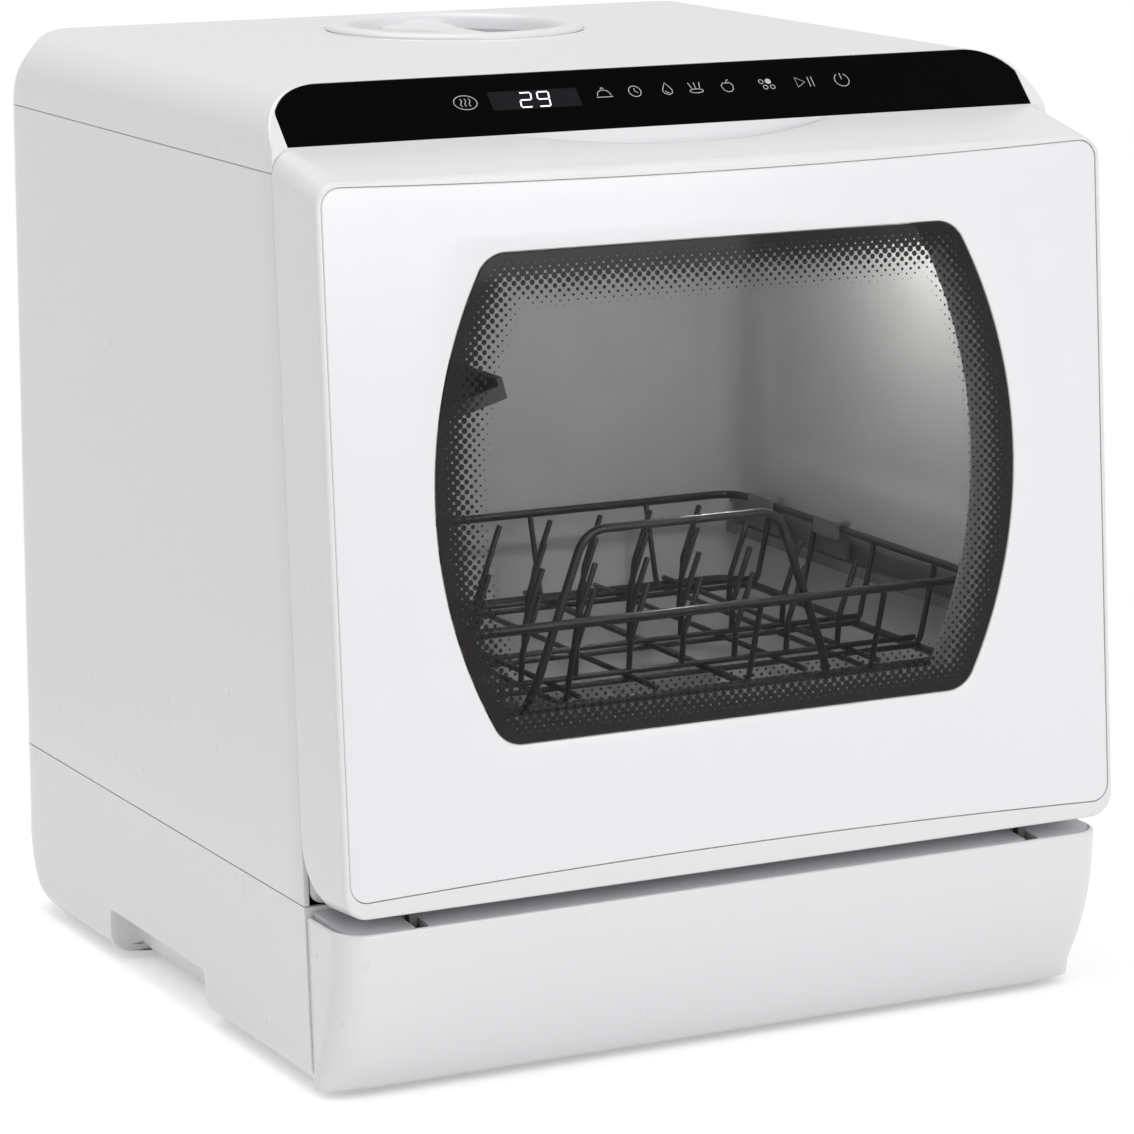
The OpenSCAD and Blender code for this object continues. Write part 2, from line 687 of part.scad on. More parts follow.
ring_r = 4.6;
stem_t = 2.2;
stem_l = 12;
stem_a = 30;
bracket_foot = 46;
module hinge_bracket(x) {
    u = [cos(stem_a), -sin(stem_a)];
    n = [sin(stem_a), cos(stem_a)];
    p = [pin_y, pin_z];
    knee = p + stem_l * u;
    wall_y = face_y(bracket_foot) - 0.2;
    difference() {
        union() {
            along_x(x - bracket_t / 2, x + bracket_t / 2) polygon([
                p + stem_t * n, knee + [stem_t, stem_t], [knee[0] + stem_t, bracket_foot + 22],
                [wall_y - 1, bracket_foot + 16], [wall_y - 1, bracket_foot],
                [knee[0] - stem_t - 3, bracket_foot + 8], [knee[0] - stem_t, knee[1] - stem_t],
                p - stem_t * n]);
            translate([x - bracket_t / 2, pin_y, pin_z]) rotate([0, 90, 0])
                cylinder(h = bracket_t, r = ring_r, $fn = 32);
            translate([x - 12, wall_y - 2, bracket_foot]) cube([24, 2, 16]);
        }
        translate([x - 20, pin_y, pin_z]) rotate([0, 90, 0]) cylinder(h = 40, r = pin_r + 0.06, $fn = 32);
        for (k = [-1, 1]) translate([x + 8 * k, wall_y - 5, bracket_foot + 8]) rotate([-90, 0, 0])
            cylinder(h = 10, r = 1.7, $fn = 20);
    }
}
module hinge_bracket_left() color("silver") hinge_bracket(-hinge_x);
module hinge_bracket_right() color("silver") hinge_bracket(hinge_x);

liner_d = door_t - seal_t - 0.5;
liner_t = 2.5;
plate_pocket = plate_t + 0.1;
plate_w = body_w - 2 * plate_side;
plate_h0 = door_h0 + plate_foot;
plate_h1 = door_h1 - 1.6;
plate_r = 9;
scoop_floor = door_h1 + 4;
scoop_r = (grip_half * grip_half + grip_deep * grip_deep) / (2 * grip_deep);
win_cx = win_half - win_side_r;
win_pz = win_h / 2 - win_corner_r;
win_px = win_cx + sqrt(pow(win_side_r - win_corner_r, 2) - win_pz * win_pz);
win_a = atan2(win_pz, win_px - win_cx);
function open_arc(c, r, a0, a1, n) =
    [for (i = [1:n - 1]) let (a = a0 + (a1 - a0) * i / n) c + r * [cos(a), sin(a)]];
function win_outline(g) = concat(
    arc([win_px, win_pz], win_corner_r + g, win_a, 90),
    arc([-win_px, win_pz], win_corner_r + g, 90, 180 - win_a),
    open_arc([-win_cx, 0], win_side_r + g, 180 - win_a, 180 + win_a, 16),
    arc([-win_px, -win_pz], win_corner_r + g, 180 + win_a, 270),
    arc([win_px, -win_pz], win_corner_r + g, 270, 360 - win_a),
    open_arc([win_cx, 0], win_side_r + g, -win_a, win_a, 16));
module win_shape(g) translate([0, win_mid]) polygon(win_outline(g));
function bow(s, up, n = 10) = [for (i = [1:n - 1]) let (u = 1 - 2 * i / n)
    [s * u * (plate_w / 2 - plate_r), up - sign(up) * plate_bow * (1 - u * u)]];
module plate_shape(g) {
    h = plate_h1 - plate_h0;
    cx = plate_w / 2 - plate_r;
    ch = h / 2 - plate_r;
    translate([0, (plate_h0 + plate_h1) / 2]) polygon(concat(
        arc([cx, ch], plate_r + g, 0, 90), bow(1, h / 2 + g),
        arc([-cx, ch], plate_r + g, 90, 180), arc([-cx, -ch], plate_r + g, 180, 270),
        bow(-1, -h / 2 - g), arc([cx, -ch], plate_r + g, 270, 360)));
}
function door_side(g, top) = concat(
    [[g, door_h0 + g]],
    arc([back_gap - door_heel_r, door_h0 + door_heel_r], door_heel_r - g, 270, 360),
    top > 0 ? [[back_gap - g, top], [g, top]]
    : [[back_gap, door_top_h], [2, door_h1 + 0.8], [0, door_h1 - 1.2]]);
module door_front_shape(g) {
    h = door_top_h - door_h0;
    translate([0, door_h0 + h / 2])
        polygon(box_outline(body_w - 2 * g, h - (g > 0 ? 2 * g : 0), door_r - g));
}
module door_solid(g, top) {
    on_face() intersection() {
        along_x(g - half_w, half_w - g) polygon(door_side(g, top));
        along_y(-1, door_t) door_front_shape(g);
    }
}
module hinge_pocket(x) {
    front = pin_deep - ring_r - 2;
    on_face() along_x(x - bracket_t / 2 - 1, x + bracket_t / 2 + 1) polygon([
        [front, 0], [front, pin_h + 2], [pin_deep - ring_r + 0.1, pin_h + ring_r + 0.8],
        [24, pin_h + ring_r + 0.8], [24, 0]]);
}
module door_shell() color("whitesmoke") {
    difference() {
        union() {
            difference() {
                door_solid(0, 0);
                intersection() {
                    door_solid(door_wall, door_h1 - door_wall);
                    face_plate(plate_pocket + door_wall, door_t) square(4 * far, center = true);
                }
                on_face() translate([door_wall - half_w, liner_d - liner_t - 0.2, 0])
                    cube([body_w - 2 * door_wall, door_t, door_h1 - door_wall]);
            }
            intersection() {
                door_solid(0.5, door_h1 - door_wall);
                both_sides() on_face() translate([hinge_x - 9, 0, 0]) cube([18, 25, pin_h + 10]);
            }
        }
        face_plate(-1, plate_pocket) plate_shape(0.3);
        face_plate(-1, door_t) win_shape(pane_lap + 0.5);
        both_sides() hinge_pocket(hinge_x);
        both_sides() translate([hinge_x - 8, pin_y, pin_z]) rotate([0, 90, 0])
            cylinder(h = 16, r = pin_r + 0.02, $fn = 32);
        on_face() translate([0, back_gap + scoop_r - grip_deep, scoop_floor])
            cylinder(h = 50, r = scoop_r, $fn = 160);
    }
}
module front_plate() color("white") {
    face_plate(0, plate_t) difference() {
        plate_shape(0);
        win_shape(0.3);
    }
}
module outer_pane() color("dimgray", 0.5) {
    face_plate(0, plate_pocket + 0.1) win_shape(0);
    face_plate(plate_pocket, plate_pocket + pane_t) win_shape(pane_lap);
}
module inner_pane() color("dimgray", 0.5) {
    face_plate(liner_d - liner_t - 0.2 - pane_t, liner_d - liner_t - 0.2) win_shape(pane_lap);
}
liner_heel = liner_d - liner_t - back_gap + door_heel_r;
liner_h0 = door_h0 + door_heel_r - sqrt(pow(door_heel_r, 2) - pow(liner_heel, 2)) + 3.5;
liner_h1 = door_h1 - door_wall - 0.3;
rim_in = 3;
cell_x = -62;
cell_w = 84;
cell_h0 = mouth_h0 + 5;
cell_h = 26;
cell_deep = 14;
module door_liner() color("silver") {
    difference() {
        union() {
            face_plate(liner_d - liner_t, liner_d)
                translate([door_wall + run - half_w, liner_h0])
                    square([body_w - 2 * (door_wall + run), liner_h1 - liner_h0]);
            face_plate(liner_d - 0.5, door_t + 2.2) difference() {
                seal_outline(-rim_in);
                seal_outline(-rim_in - 3);
            }
        }
        face_plate(0, door_t) win_shape(0);
        face_plate(0, door_t) translate([cell_x - cell_w / 2, cell_h0]) square([cell_w, cell_h]);
    }
}
module hinge_pins() color("silver") {
    both_sides() translate([hinge_x - 8, pin_y, pin_z]) rotate([0, 90, 0])
        cylinder(h = 16, r = pin_r, $fn = 32);
}
module latch_hook() color("dimgray") {
    on_face() {
        along_x(-6, 6) polygon([
            [liner_d + 0.05, latch_h], [door_t + wall + 10, latch_h], [door_t + wall + 10, latch_h + 2],
            [door_t + wall + 7, latch_h + hook_t + 1.5], [door_t + wall + 4, latch_h + hook_t],
            [liner_d + 0.05, latch_h + hook_t]]);
        translate([-9, liner_d + 0.05, latch_h - 1.5]) cube([18, 2, hook_t + 2]);
    }
}
cup_w = 34;
lid_travel = 38;
module dispenser_body() color("lightgray") {
    face_plate(liner_d - cell_deep, liner_d + 0.3) difference() {
        translate([cell_x - cell_w / 2 + 0.2, cell_h0 + 0.2]) square([cell_w - 0.4, cell_h - 0.4]);
        translate([cell_x - cell_w / 2 + 5, cell_h0 + 4]) square([cup_w, cell_h - 8]);
    }
    face_plate(liner_d - cell_deep - 1.5, liner_d - cell_deep + 0.1)
        translate([cell_x - cell_w / 2 + 0.2, cell_h0 + 0.2]) square([cell_w - 0.4, cell_h - 0.4]);
    for (h = [cell_h0 + 0.2, cell_h0 + cell_h - 1.7]) on_face() {
        translate([cell_x - cell_w / 2 + 0.2, liner_d, h]) cube([cell_w - 0.4, 3.7, 1.5]);
        translate([cell_x - cell_w / 2 + 0.2, liner_d + 2.7, h - (h > cell_h0 + 5 ? 1.8 : 0)])
            cube([cell_w - 0.4, 1, 3.3]);
    }
}
module dispenser_lid() color("white") {
    face_plate(liner_d + 0.6, liner_d + 2.4)
        translate([cell_x - cell_w / 2 + 3, cell_h0 + 2]) square([cup_w + 4, cell_h - 4]);
    on_face() translate([cell_x - cell_w / 2 + cup_w, liner_d + 2.3, cell_h0 + cell_h / 2 - 6])
        cube([2.5, 1.8, 12]);
}

rack_half = tub_half - 9;
floor_half = rack_half - 9;
rack_back = tub_back - 22;
floor_front = rack_front + rack_in;
floor_back = rack_back - rack_in;
bend = 16;
module ring(w, y0, y1, z, r) {
    for (y = [y0, y1]) rod([bend - w, y, z], [w - bend, y, z], r, 32);
    both_sides() rod([w, y0 + bend, z], [w, y1 - bend, z], r, 32);
    corners = [[w - bend, y1 - bend], [bend - w, y1 - bend], [bend - w, y0 + bend], [w - bend, y0 + bend]];
    for (k = [0:3]) translate([corners[k][0], corners[k][1], z]) rotate([0, 0, 90 * k])
        rotate_extrude(angle = 90, $fn = 48) translate([bend, 0]) circle(r = r, $fn = 32);
}
post_x = [-123, -50, 52, 123];
post_y = [-90, -30, 30, 78];
// A post runs from one ring to another and ends against them.
module post(a, b) {
    v = (b - a) / norm(b - a) * (frame_wire + weld);
    rod(a + v, b - v, thin_wire, 16);
}
weld = 0.06;
module rack_frame() color("dimgray") {
    ring(rack_half, rack_front, rack_back, rack_top, frame_wire);
    ring(floor_half, floor_front, floor_back, rack_z, frame_wire);
    for (x = post_x) {
        post([x, rack_front, rack_top], [x, floor_front, rack_z]);
        post([x, rack_back, rack_top], [x, floor_back, rack_z]);
    }
    for (y = post_y) both_sides() post([rack_half, y, rack_top], [floor_half, y, rack_z]);
}
grid_n = 7;
tine_rows = [-92, -36, 20, 72];
tine_l = 44;
tine_lean = 14;
tine_step = 30;
grid_z = rack_z + frame_wire + thin_wire + 0.1;
module rack_tines() color("dimgray") {
    for (i = [1:grid_n]) {
        x = -floor_half + i * 2 * floor_half / (grid_n + 1);
        rod([x, floor_front, grid_z], [x, floor_back, grid_z], thin_wire, 16);
    }
    z = grid_z + 2 * thin_wire + weld;
    for (y = tine_rows) {
        rod([4 - floor_half, y, z], [floor_half - 4, y, z], thin_wire, 16);
        for (x = [-120:tine_step:120])
            rod([x, y, z], [x + tine_l * sin(tine_lean), y, z + tine_l * cos(tine_lean)], thin_wire, 16);
    }
}
arch_x = 10;
arch_half = 53;
arch_foot = 85;
arch_y = rack_front + 2 * frame_wire + 0.3;
module rack_arch() color("dimgray") {
    z1 = rack_z + 16;
    x1 = arch_foot - (arch_foot - arch_half) * 16 / (arch_top - rack_z);
    foot_y = floor_front - 2 * frame_wire - 0.15;
    path = [[-arch_foot, foot_y, rack_z], [-x1, arch_y, z1], [-arch_half - 3, arch_y, arch_top - 9],
            [-arch_half + 9, arch_y, arch_top], [arch_half - 9, arch_y, arch_top],
            [arch_half + 3, arch_y, arch_top - 9], [x1, arch_y, z1], [arch_foot, foot_y, rack_z]];
    translate([arch_x, 0, 0]) {
        for (i = [0:len(path) - 2]) rod(path[i], path[i + 1], frame_wire, 24);
        for (i = [1:len(path) - 2]) translate(path[i]) sphere(r = frame_wire + 0.12, $fn = 24);
    }
}
glide_h = 10;
glide_y = [rack_back - 104, rack_back - 34];
module rack_glides() color("gray") {
    w = frame_wire + 0.1;
    x1 = tub_half - rail_in + 1.6;
    both_sides() for (y = glide_y) translate([0, y, 0]) {
        along_y(-12, 12) polygon([
            [x1, rail_z + run + 1], [x1, rack_top + w + 2], [rack_half - w - 2, rack_top + w + 2],
            [rack_half - w - 2, rack_top - 5], [rack_half - w, rack_top - 5], [rack_half - w, rack_top + w],
            [rack_half + w, rack_top + w], [rack_half + w, rail_z + run + 1]]);
        translate([x1 - 0.1, 0, rail_z + run + glide_h / 2]) rotate([0, 90, 0])
            cylinder(h = rail_in - 4.2, r = glide_h / 2, $fn = 32);
    }
}
hook_y = rack_front + bend + 4;
shelf_l = rack_back - rack_front - shelf_short;
shelf_x = -rack_half + 7;
module shelf_bracket() color("dimgray") {
    y1 = hook_y + shelf_l + 8;
    for (y = [hook_y, y1]) {
        rod([-rack_half, y, rack_top + frame_wire + 0.7], [shelf_x, y, shelf_z], frame_wire, 32);
        translate([shelf_x, y, shelf_z]) sphere(r = frame_wire + 0.12, $fn = 32);
    }
    rod([shelf_x, hook_y, shelf_z], [shelf_x, y1, shelf_z], frame_wire, 32);
}
module cup_shelf() color("gray") {
    y0 = hook_y + 4;
    translate([shelf_x, 0, shelf_z]) difference() {
        union() {
            rotate([0, -shelf_tilt, 0]) {
                translate([3, y0, -1.5]) cube([shelf_reach - 3, shelf_l, 3]);
                translate([shelf_reach - 3, y0, -1.5]) cube([3, shelf_l, 11]);
                for (y = [y0, y0 + shelf_l - 3]) translate([3, y, -1.5]) cube([shelf_reach - 4, 3, 7]);
            }
            translate([0, y0 + shelf_l + 0.6, 0]) rotate([90, 7, 0])
                cylinder(h = shelf_l + 1.2, r = 4.8, $fn = 32);
        }
        translate([0, y0 + shelf_l + 2, 0]) rotate([90, 0, 0])
            cylinder(h = shelf_l + 4, r = frame_wire + 0.06, $fn = 32);
        rotate([0, -shelf_tilt, 0]) for (k = [0:6])
            translate([14, y0 + 12 + (shelf_l - 30) * k / 6, -2]) cube([shelf_reach - 28, 6, 4]);
    }
}

module wing_arm(reach, w, h, n) {
    tip = w * 0.55;
    difference() {
        union() {
            linear_extrude(h) polygon(concat(
                arc([reach - tip, 0], tip, -80, 80), [[8, w]], [[-8, w]],
                arc([tip - reach, 0], tip, 100, 260), [[-8, -w]], [[8, -w]]));
            cylinder(h = h + 1.4, r = w + 4, $fn = 48);
        }
        translate([0, 0, -1]) cylinder(h = h + 4, r = spindle_r + 0.06, $fn = 32);
        for (k = [1:n], s = [-1, 1]) translate([s * (24 + (reach - 40) * k / n), s * 3, h - 2])
            cylinder(h = 4, r = 1.5, $fn = 16);
    }
}
module lower_spray_arm() color("gray") {
    translate([0, hub_y, arm_z + run]) rotate([0, 0, 20]) wing_arm(arm_reach, 15, 9, 5);
}
module upper_spray_arm() color("gray") {
    translate([0, 0, top_arm_z - 1.2]) rotate([0, 0, 65]) wing_arm(top_arm_reach, 12, 8, 4);
}
cup_top = arm_z - 1.5;
module filter_cup() color("lightslategray") {
    translate([0, cup_y, 0]) difference() {
        union() {
            translate([0, 0, sump_z + 10]) cylinder(h = cup_top - sump_z - 12, r = cup_r, $fn = 48);
            translate([0, 0, plate_z + 2 + run]) cylinder(h = 2.5, r = cup_r + 3, $fn = 48);
            translate([-cup_r + 4, -2.5, plate_z + 2]) cube([2 * cup_r - 8, 5, cup_top - plate_z - 2]);
        }
        translate([0, 0, sump_z + 12]) cylinder(h = plate_z - sump_z - 14, r = cup_r - 2, $fn = 48);
        for (a = [0:30:330], z = [sump_z + 18:12:plate_z - 16]) rotate([0, 0, a])
            translate([cup_r - 5, -3, z]) cube([8, 6, 7]);
    }
}
cap_rim = 3.4;
cap_deep = 17;
module fill_cap() color("whitesmoke") {
    z0 = body_h + run;
    bowl = cap_r - 9;
    translate([0, cap_y, 0]) {
        rotate_extrude($fn = 96) polygon([
            [0, z0 - cap_deep - 2.5], [bowl - 4, z0 - cap_deep - 2.5], [bowl, z0 - cap_deep + 2],
            [bowl, z0], [cap_r, z0], [cap_r, z0 + 1.8], [cap_r - 1.6, z0 + cap_rim],
            [cap_r - 7, z0 + cap_rim], [bowl - 3, z0 + 0.6], [bowl - 5, z0 - cap_deep], [0, z0 - cap_deep]]);
        difference() {
            intersection() {
                translate([0, 0, z0 - cap_deep - 0.5]) cylinder(h = cap_deep + 1, r = bowl - 3.5, $fn = 96);
                translate([-20, -cap_r, z0 - cap_deep - 1]) cube([40, 2 * cap_r, cap_deep + 2]);
            }
            for (s = [-1, 1]) translate([s * (cap_r + 12), 0, z0 - cap_deep])
                cylinder(h = cap_deep + 2, r = cap_r + 2, $fn = 96);
        }
    }
}

base_tray();
front_skirt();
hinge_ledge();
rubber_feet();
left_panel();
right_panel();
back_panel();
top_cover();
control_fascia();
display_module();
touch_board();
tub();
tub_seal();
rack_rails();
tub_lamp();
sump();
filter_plate();
arm_hub();
circulation_pump();
drain_pump();
flow_heater();
water_tank();
fill_funnel();
feed_pipe();
drying_fan();
main_board();
float_switch();
drain_port();
inlet_port();
cord_gland();
latch_catch();
hinge_bracket_left();
hinge_bracket_right();
casing_screws();
door_shell();
front_plate();
outer_pane();
inner_pane();
door_liner();
hinge_pins();
latch_hook();
dispenser_body();
dispenser_lid();
rack_frame();
rack_tines();
rack_arch();
rack_glides();
shelf_bracket();
cup_shelf();
lower_spray_arm();
upper_spray_arm();
filter_cup();
fill_cap();
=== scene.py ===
import math

import bmesh
import bpy
import numpy as np
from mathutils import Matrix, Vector


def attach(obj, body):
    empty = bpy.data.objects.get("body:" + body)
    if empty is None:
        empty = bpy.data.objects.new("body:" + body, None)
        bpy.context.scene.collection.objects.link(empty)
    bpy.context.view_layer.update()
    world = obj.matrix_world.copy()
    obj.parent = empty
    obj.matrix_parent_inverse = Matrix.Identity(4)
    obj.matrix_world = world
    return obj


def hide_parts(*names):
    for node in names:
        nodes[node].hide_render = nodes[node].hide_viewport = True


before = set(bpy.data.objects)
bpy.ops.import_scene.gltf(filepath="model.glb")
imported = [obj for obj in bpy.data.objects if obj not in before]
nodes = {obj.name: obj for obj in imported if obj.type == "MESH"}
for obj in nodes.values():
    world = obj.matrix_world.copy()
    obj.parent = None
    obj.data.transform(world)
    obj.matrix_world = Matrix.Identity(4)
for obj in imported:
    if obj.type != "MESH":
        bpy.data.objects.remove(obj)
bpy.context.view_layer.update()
mm = 0.001
print("frame: loaded", len(nodes), "solids")

# The camera stands where a fit of the photograph's straight edges puts it.
view = {"place": (-1.06434, -2.07313, 0.69313), "pitch": 78.092, "yaw": -27.467, "lens": 147.782}
camera = bpy.data.objects.new("camera", bpy.data.cameras.new("camera"))
camera.location = view["place"]
camera.rotation_euler = (math.radians(view["pitch"]), 0, math.radians(view["yaw"]))
camera.data.lens = view["lens"]
camera.data.sensor_width = 36
camera.data.clip_end = 60
bpy.context.scene.collection.objects.link(camera)
bpy.context.scene.camera = camera
bpy.context.scene.view_settings.view_transform = "Standard"

# Each lamp: where it stands, what it looks at, its width and its power in watts.
lamps = {
    "front": {"place": (0.5, -2.6, 1.2), "aim": (0, -0.2, 0.2), "size": 1.8, "power": 27},
    "left": {"place": (-2.2, -0.4, 1.9), "aim": (-0.2, 0, 0.3), "size": 1.5, "power": 2.2},
    "top": {"place": (-0.5, 0.4, 2.6), "aim": (0, 0, 0.4), "size": 1.8, "power": 24},
}
for name, lamp in lamps.items():
    light = bpy.data.lights.new(name + "Lamp", "AREA")
    light.size = lamp["size"]
    light.energy = lamp["power"]
    holder = bpy.data.objects.new(name + "Lamp", light)
    bpy.context.scene.collection.objects.link(holder)
    holder.location = lamp["place"]
    away = np.array(lamp["place"]) - np.array(lamp["aim"])
    holder.rotation_euler = (
        math.acos(away[2] / np.linalg.norm(away)), 0, math.atan2(away[0], -away[1]))

# Node helpers. A link is made from an output socket to an input socket.
def addNode(tree, kind, place=(0, 0), **values):
    node = tree.nodes.new("ShaderNode" + kind)
    node.location = place
    for key, value in values.items():
        setattr(node, key, value)
    return node


def calc(tree, operation, first, second=0.0, third=None):
    node = addNode(tree, "Math", operation=operation)
    for socket, value in zip(node.inputs, (first, second, third)):
        if isinstance(value, bpy.types.NodeSocket):
            tree.links.new(value, socket)
        elif value is not None:
            socket.default_value = value
    return node.outputs[0]


def blendColour(tree, factor, first, second, blend="MIX"):
    node = addNode(tree, "Mix", data_type="RGBA", blend_type=blend)
    for index, value in ((0, factor), (6, first), (7, second)):
        if isinstance(value, bpy.types.NodeSocket):
            tree.links.new(value, node.inputs[index])
        elif index == 0:
            node.inputs[index].default_value = value
        else:
            node.inputs[index].default_value = (*value, 1)
    return node.outputs[2]


world = bpy.data.worlds.new("studio")
bpy.context.scene.world = world
world.use_nodes = True
studio = {"ambient": 0.52, "seen": 1.0, "mirrored": 0.75}
sky = world.node_tree.nodes["Background"]
rays = addNode(world.node_tree, "LightPath")
mirrored = calc(world.node_tree, "MAXIMUM", rays.outputs["Is Glossy Ray"], rays.outputs["Is Transmission Ray"])
level = calc(world.node_tree, "MULTIPLY_ADD", mirrored, studio["mirrored"] - studio["ambient"], studio["ambient"])
seen = calc(world.node_tree, "MAXIMUM", rays.outputs["Is Camera Ray"], level)
world.node_tree.links.new(seen, sky.inputs["Strength"])
sky.inputs["Color"].default_value = (1, 1, 1, 1)

# The floor keeps the shadow near the machine and turns plain white further out.
floor = {"reach": 30.0, "albedo": 0.9, "lift": 0.36, "fadeFrom": 0.42, "fadeTo": 0.95}
bpy.ops.mesh.primitive_plane_add(size=2 * floor["reach"])
ground = bpy.context.object
ground.name = "studioFloor"
paper = bpy.data.materials.new("studioPaper")
paper.use_nodes = True
tree = paper.node_tree
shader = tree.nodes["Principled BSDF"]
where = addNode(tree, "TexCoord")
spread = addNode(tree, "VectorMath", operation="LENGTH")
tree.links.new(where.outputs["Object"], spread.inputs[0])
fade = addNode(tree, "MapRange", interpolation_type="SMOOTHSTEP")
fade.inputs["From Min"].default_value = floor["fadeFrom"]
fade.inputs["From Max"].default_value = floor["fadeTo"]
tree.links.new(spread.outputs["Value"], fade.inputs["Value"])
shader.inputs["Roughness"].default_value = 0.9
shader.inputs["Specular IOR Level"].default_value = 0.0
shader.inputs["Base Color"].default_value = (floor["albedo"],) * 3 + (1,)
rays = addNode(tree, "LightPath")
plain = addNode(tree, "Emission")
plain.inputs["Strength"].default_value = 1.0
glow = addNode(tree, "Emission")
glow.inputs["Strength"].default_value = floor["lift"]
lifted = addNode(tree, "AddShader")
tree.links.new(shader.outputs[0], lifted.inputs[0])
tree.links.new(glow.outputs[0], lifted.inputs[1])
faded = addNode(tree, "MixShader")
tree.links.new(fade.outputs[0], faded.inputs[0])
tree.links.new(lifted.outputs[0], faded.inputs[1])
tree.links.new(plain.outputs[0], faded.inputs[2])
direct = calc(tree, "MAXIMUM", rays.outputs["Is Camera Ray"], rays.outputs["Is Glossy Ray"])
direct = calc(tree, "MAXIMUM", direct, rays.outputs["Is Transmission Ray"])
either = addNode(tree, "MixShader")
tree.links.new(direct, either.inputs[0])
tree.links.new(shader.outputs[0], either.inputs[1])
tree.links.new(faded.outputs[0], either.inputs[2])
tree.links.new(either.outputs[0], tree.nodes["Material Output"].inputs["Surface"])
ground.data.materials.append(paper)
print("studio: camera, lamps and floor")

# Groups of shader nodes that several finishes share.
def newGroup(name, inputs, outputs):
    group = bpy.data.node_groups.new(name, "ShaderNodeTree")
    for label, kind, value in inputs:
        socket = group.interface.new_socket(label, in_out="INPUT", socket_type="NodeSocket" + kind)
        socket.default_value = value
    for label, kind in outputs:
        group.interface.new_socket(label, in_out="OUTPUT", socket_type="NodeSocket" + kind)
    return group, group.nodes.new("NodeGroupInput"), group.nodes.new("NodeGroupOutput")


def noiseField(tree, coords, scale, detail=3.0, rough=0.5):
    noise = addNode(tree, "TexNoise")
    noise.inputs["Detail"].default_value = detail
    noise.inputs["Roughness"].default_value = rough
    tree.links.new(coords, noise.inputs["Vector"])
    if isinstance(scale, bpy.types.NodeSocket):
        tree.links.new(scale, noise.inputs["Scale"])
    else:
        noise.inputs["Scale"].default_value = scale
    return noise.outputs["Fac"]


# Moulded plastic: a fine grain in the surface, a slow drift of tone and a breath of dust.
def makePlasticGroup():
    group, given, result = newGroup(
        "mouldedSkin",
        [("Colour", "Color", (0.8, 0.8, 0.8, 1)), ("Grain", "Float", 900.0), ("Depth", "Float", 0.05),
         ("Drift", "Float", 0.03), ("Smooth", "Float", 0.3)],
        [("Colour", "Color"), ("Roughness", "Float"), ("Normal", "Vector")])
    coords = addNode(group, "TexCoord").outputs["Object"]
    slow = calc(group, "SUBTRACT", noiseField(group, coords, 5.0), 0.5)
    fine = noiseField(group, coords, given.outputs["Grain"], 2.0)
    mottled = noiseField(group, coords, 60.0, 4.0)
    drift = calc(group, "MULTIPLY", slow, given.outputs["Drift"])
    tone = calc(group, "ADD", drift, calc(group, "MULTIPLY_ADD", mottled, 0.012, 0.994))
    toned = addNode(group, "VectorMath", operation="SCALE")
    group.links.new(given.outputs["Colour"], toned.inputs[0])
    group.links.new(tone, toned.inputs["Scale"])
    group.links.new(toned.outputs[0], result.inputs["Colour"])
    rough = calc(group, "MULTIPLY_ADD", calc(group, "SUBTRACT", mottled, 0.5), 0.10, given.outputs["Smooth"])
    rough = calc(group, "MULTIPLY_ADD", slow, 0.08, rough)
    group.links.new(rough, result.inputs["Roughness"])
    bump = addNode(group, "Bump")
    bump.inputs["Distance"].default_value = 0.0004
    group.links.new(given.outputs["Depth"], bump.inputs["Strength"])
    group.links.new(fine, bump.inputs["Height"])
    group.links.new(bump.outputs[0], result.inputs["Normal"])
    return group


# Drawn metal: long thin streaks along one axis that vary tone and gloss.
def makeMetalGroup():
    group, given, result = newGroup(
        "drawnMetal",
        [("Colour", "Color", (0.6, 0.6, 0.6, 1)), ("Stretch", "Vector", (40.0, 900.0, 900.0)),
         ("Depth", "Float", 0.15), ("Smooth", "Float", 0.3)],
        [("Colour", "Color"), ("Roughness", "Float"), ("Normal", "Vector")])
    coords = addNode(group, "TexCoord").outputs["Object"]
    drawn = addNode(group, "VectorMath", operation="MULTIPLY")
    group.links.new(coords, drawn.inputs[0])
    group.links.new(given.outputs["Stretch"], drawn.inputs[1])
    streak = noiseField(group, drawn.outputs[0], 1.0, 3.0)
    cloud = noiseField(group, coords, 25.0, 3.0)
    tone = calc(group, "MULTIPLY_ADD", streak, 0.22, 0.88)
    toned = addNode(group, "VectorMath", operation="SCALE")
    group.links.new(given.outputs["Colour"], toned.inputs[0])
    group.links.new(tone, toned.inputs["Scale"])
    group.links.new(toned.outputs[0], result.inputs["Colour"])
    rough = calc(group, "MULTIPLY_ADD", cloud, 0.14, given.outputs["Smooth"])
    group.links.new(calc(group, "MULTIPLY_ADD", streak, 0.1, rough), result.inputs["Roughness"])
    bump = addNode(group, "Bump")
    bump.inputs["Distance"].default_value = 0.0002
    group.links.new(given.outputs["Depth"], bump.inputs["Strength"])
    group.links.new(streak, bump.inputs["Height"])
    group.links.new(bump.outputs[0], result.inputs["Normal"])
    return group


# Film on glass: faint smears and water marks, as a mask from 0 to 1.
def makeFilmGroup():
    group, given, result = newGroup(
        "glassFilm", [("Scale", "Float", 14.0), ("Amount", "Float", 0.5)], [("Mask", "Float"), ("Normal", "Vector")])
    coords = addNode(group, "TexCoord").outputs["Object"]
    wide = noiseField(group, coords, given.outputs["Scale"], 5.0, 0.65)
    bend = calc(group, "POWER", wide, 3.0)
    group.links.new(calc(group, "MULTIPLY", bend, given.outputs["Amount"]), result.inputs["Mask"])
    bump = addNode(group, "Bump")
    bump.inputs["Distance"].default_value = 0.0003
    bump.inputs["Strength"].default_value = 0.04
    group.links.new(wide, bump.inputs["Height"])
    group.links.new(bump.outputs[0], result.inputs["Normal"])
    return group


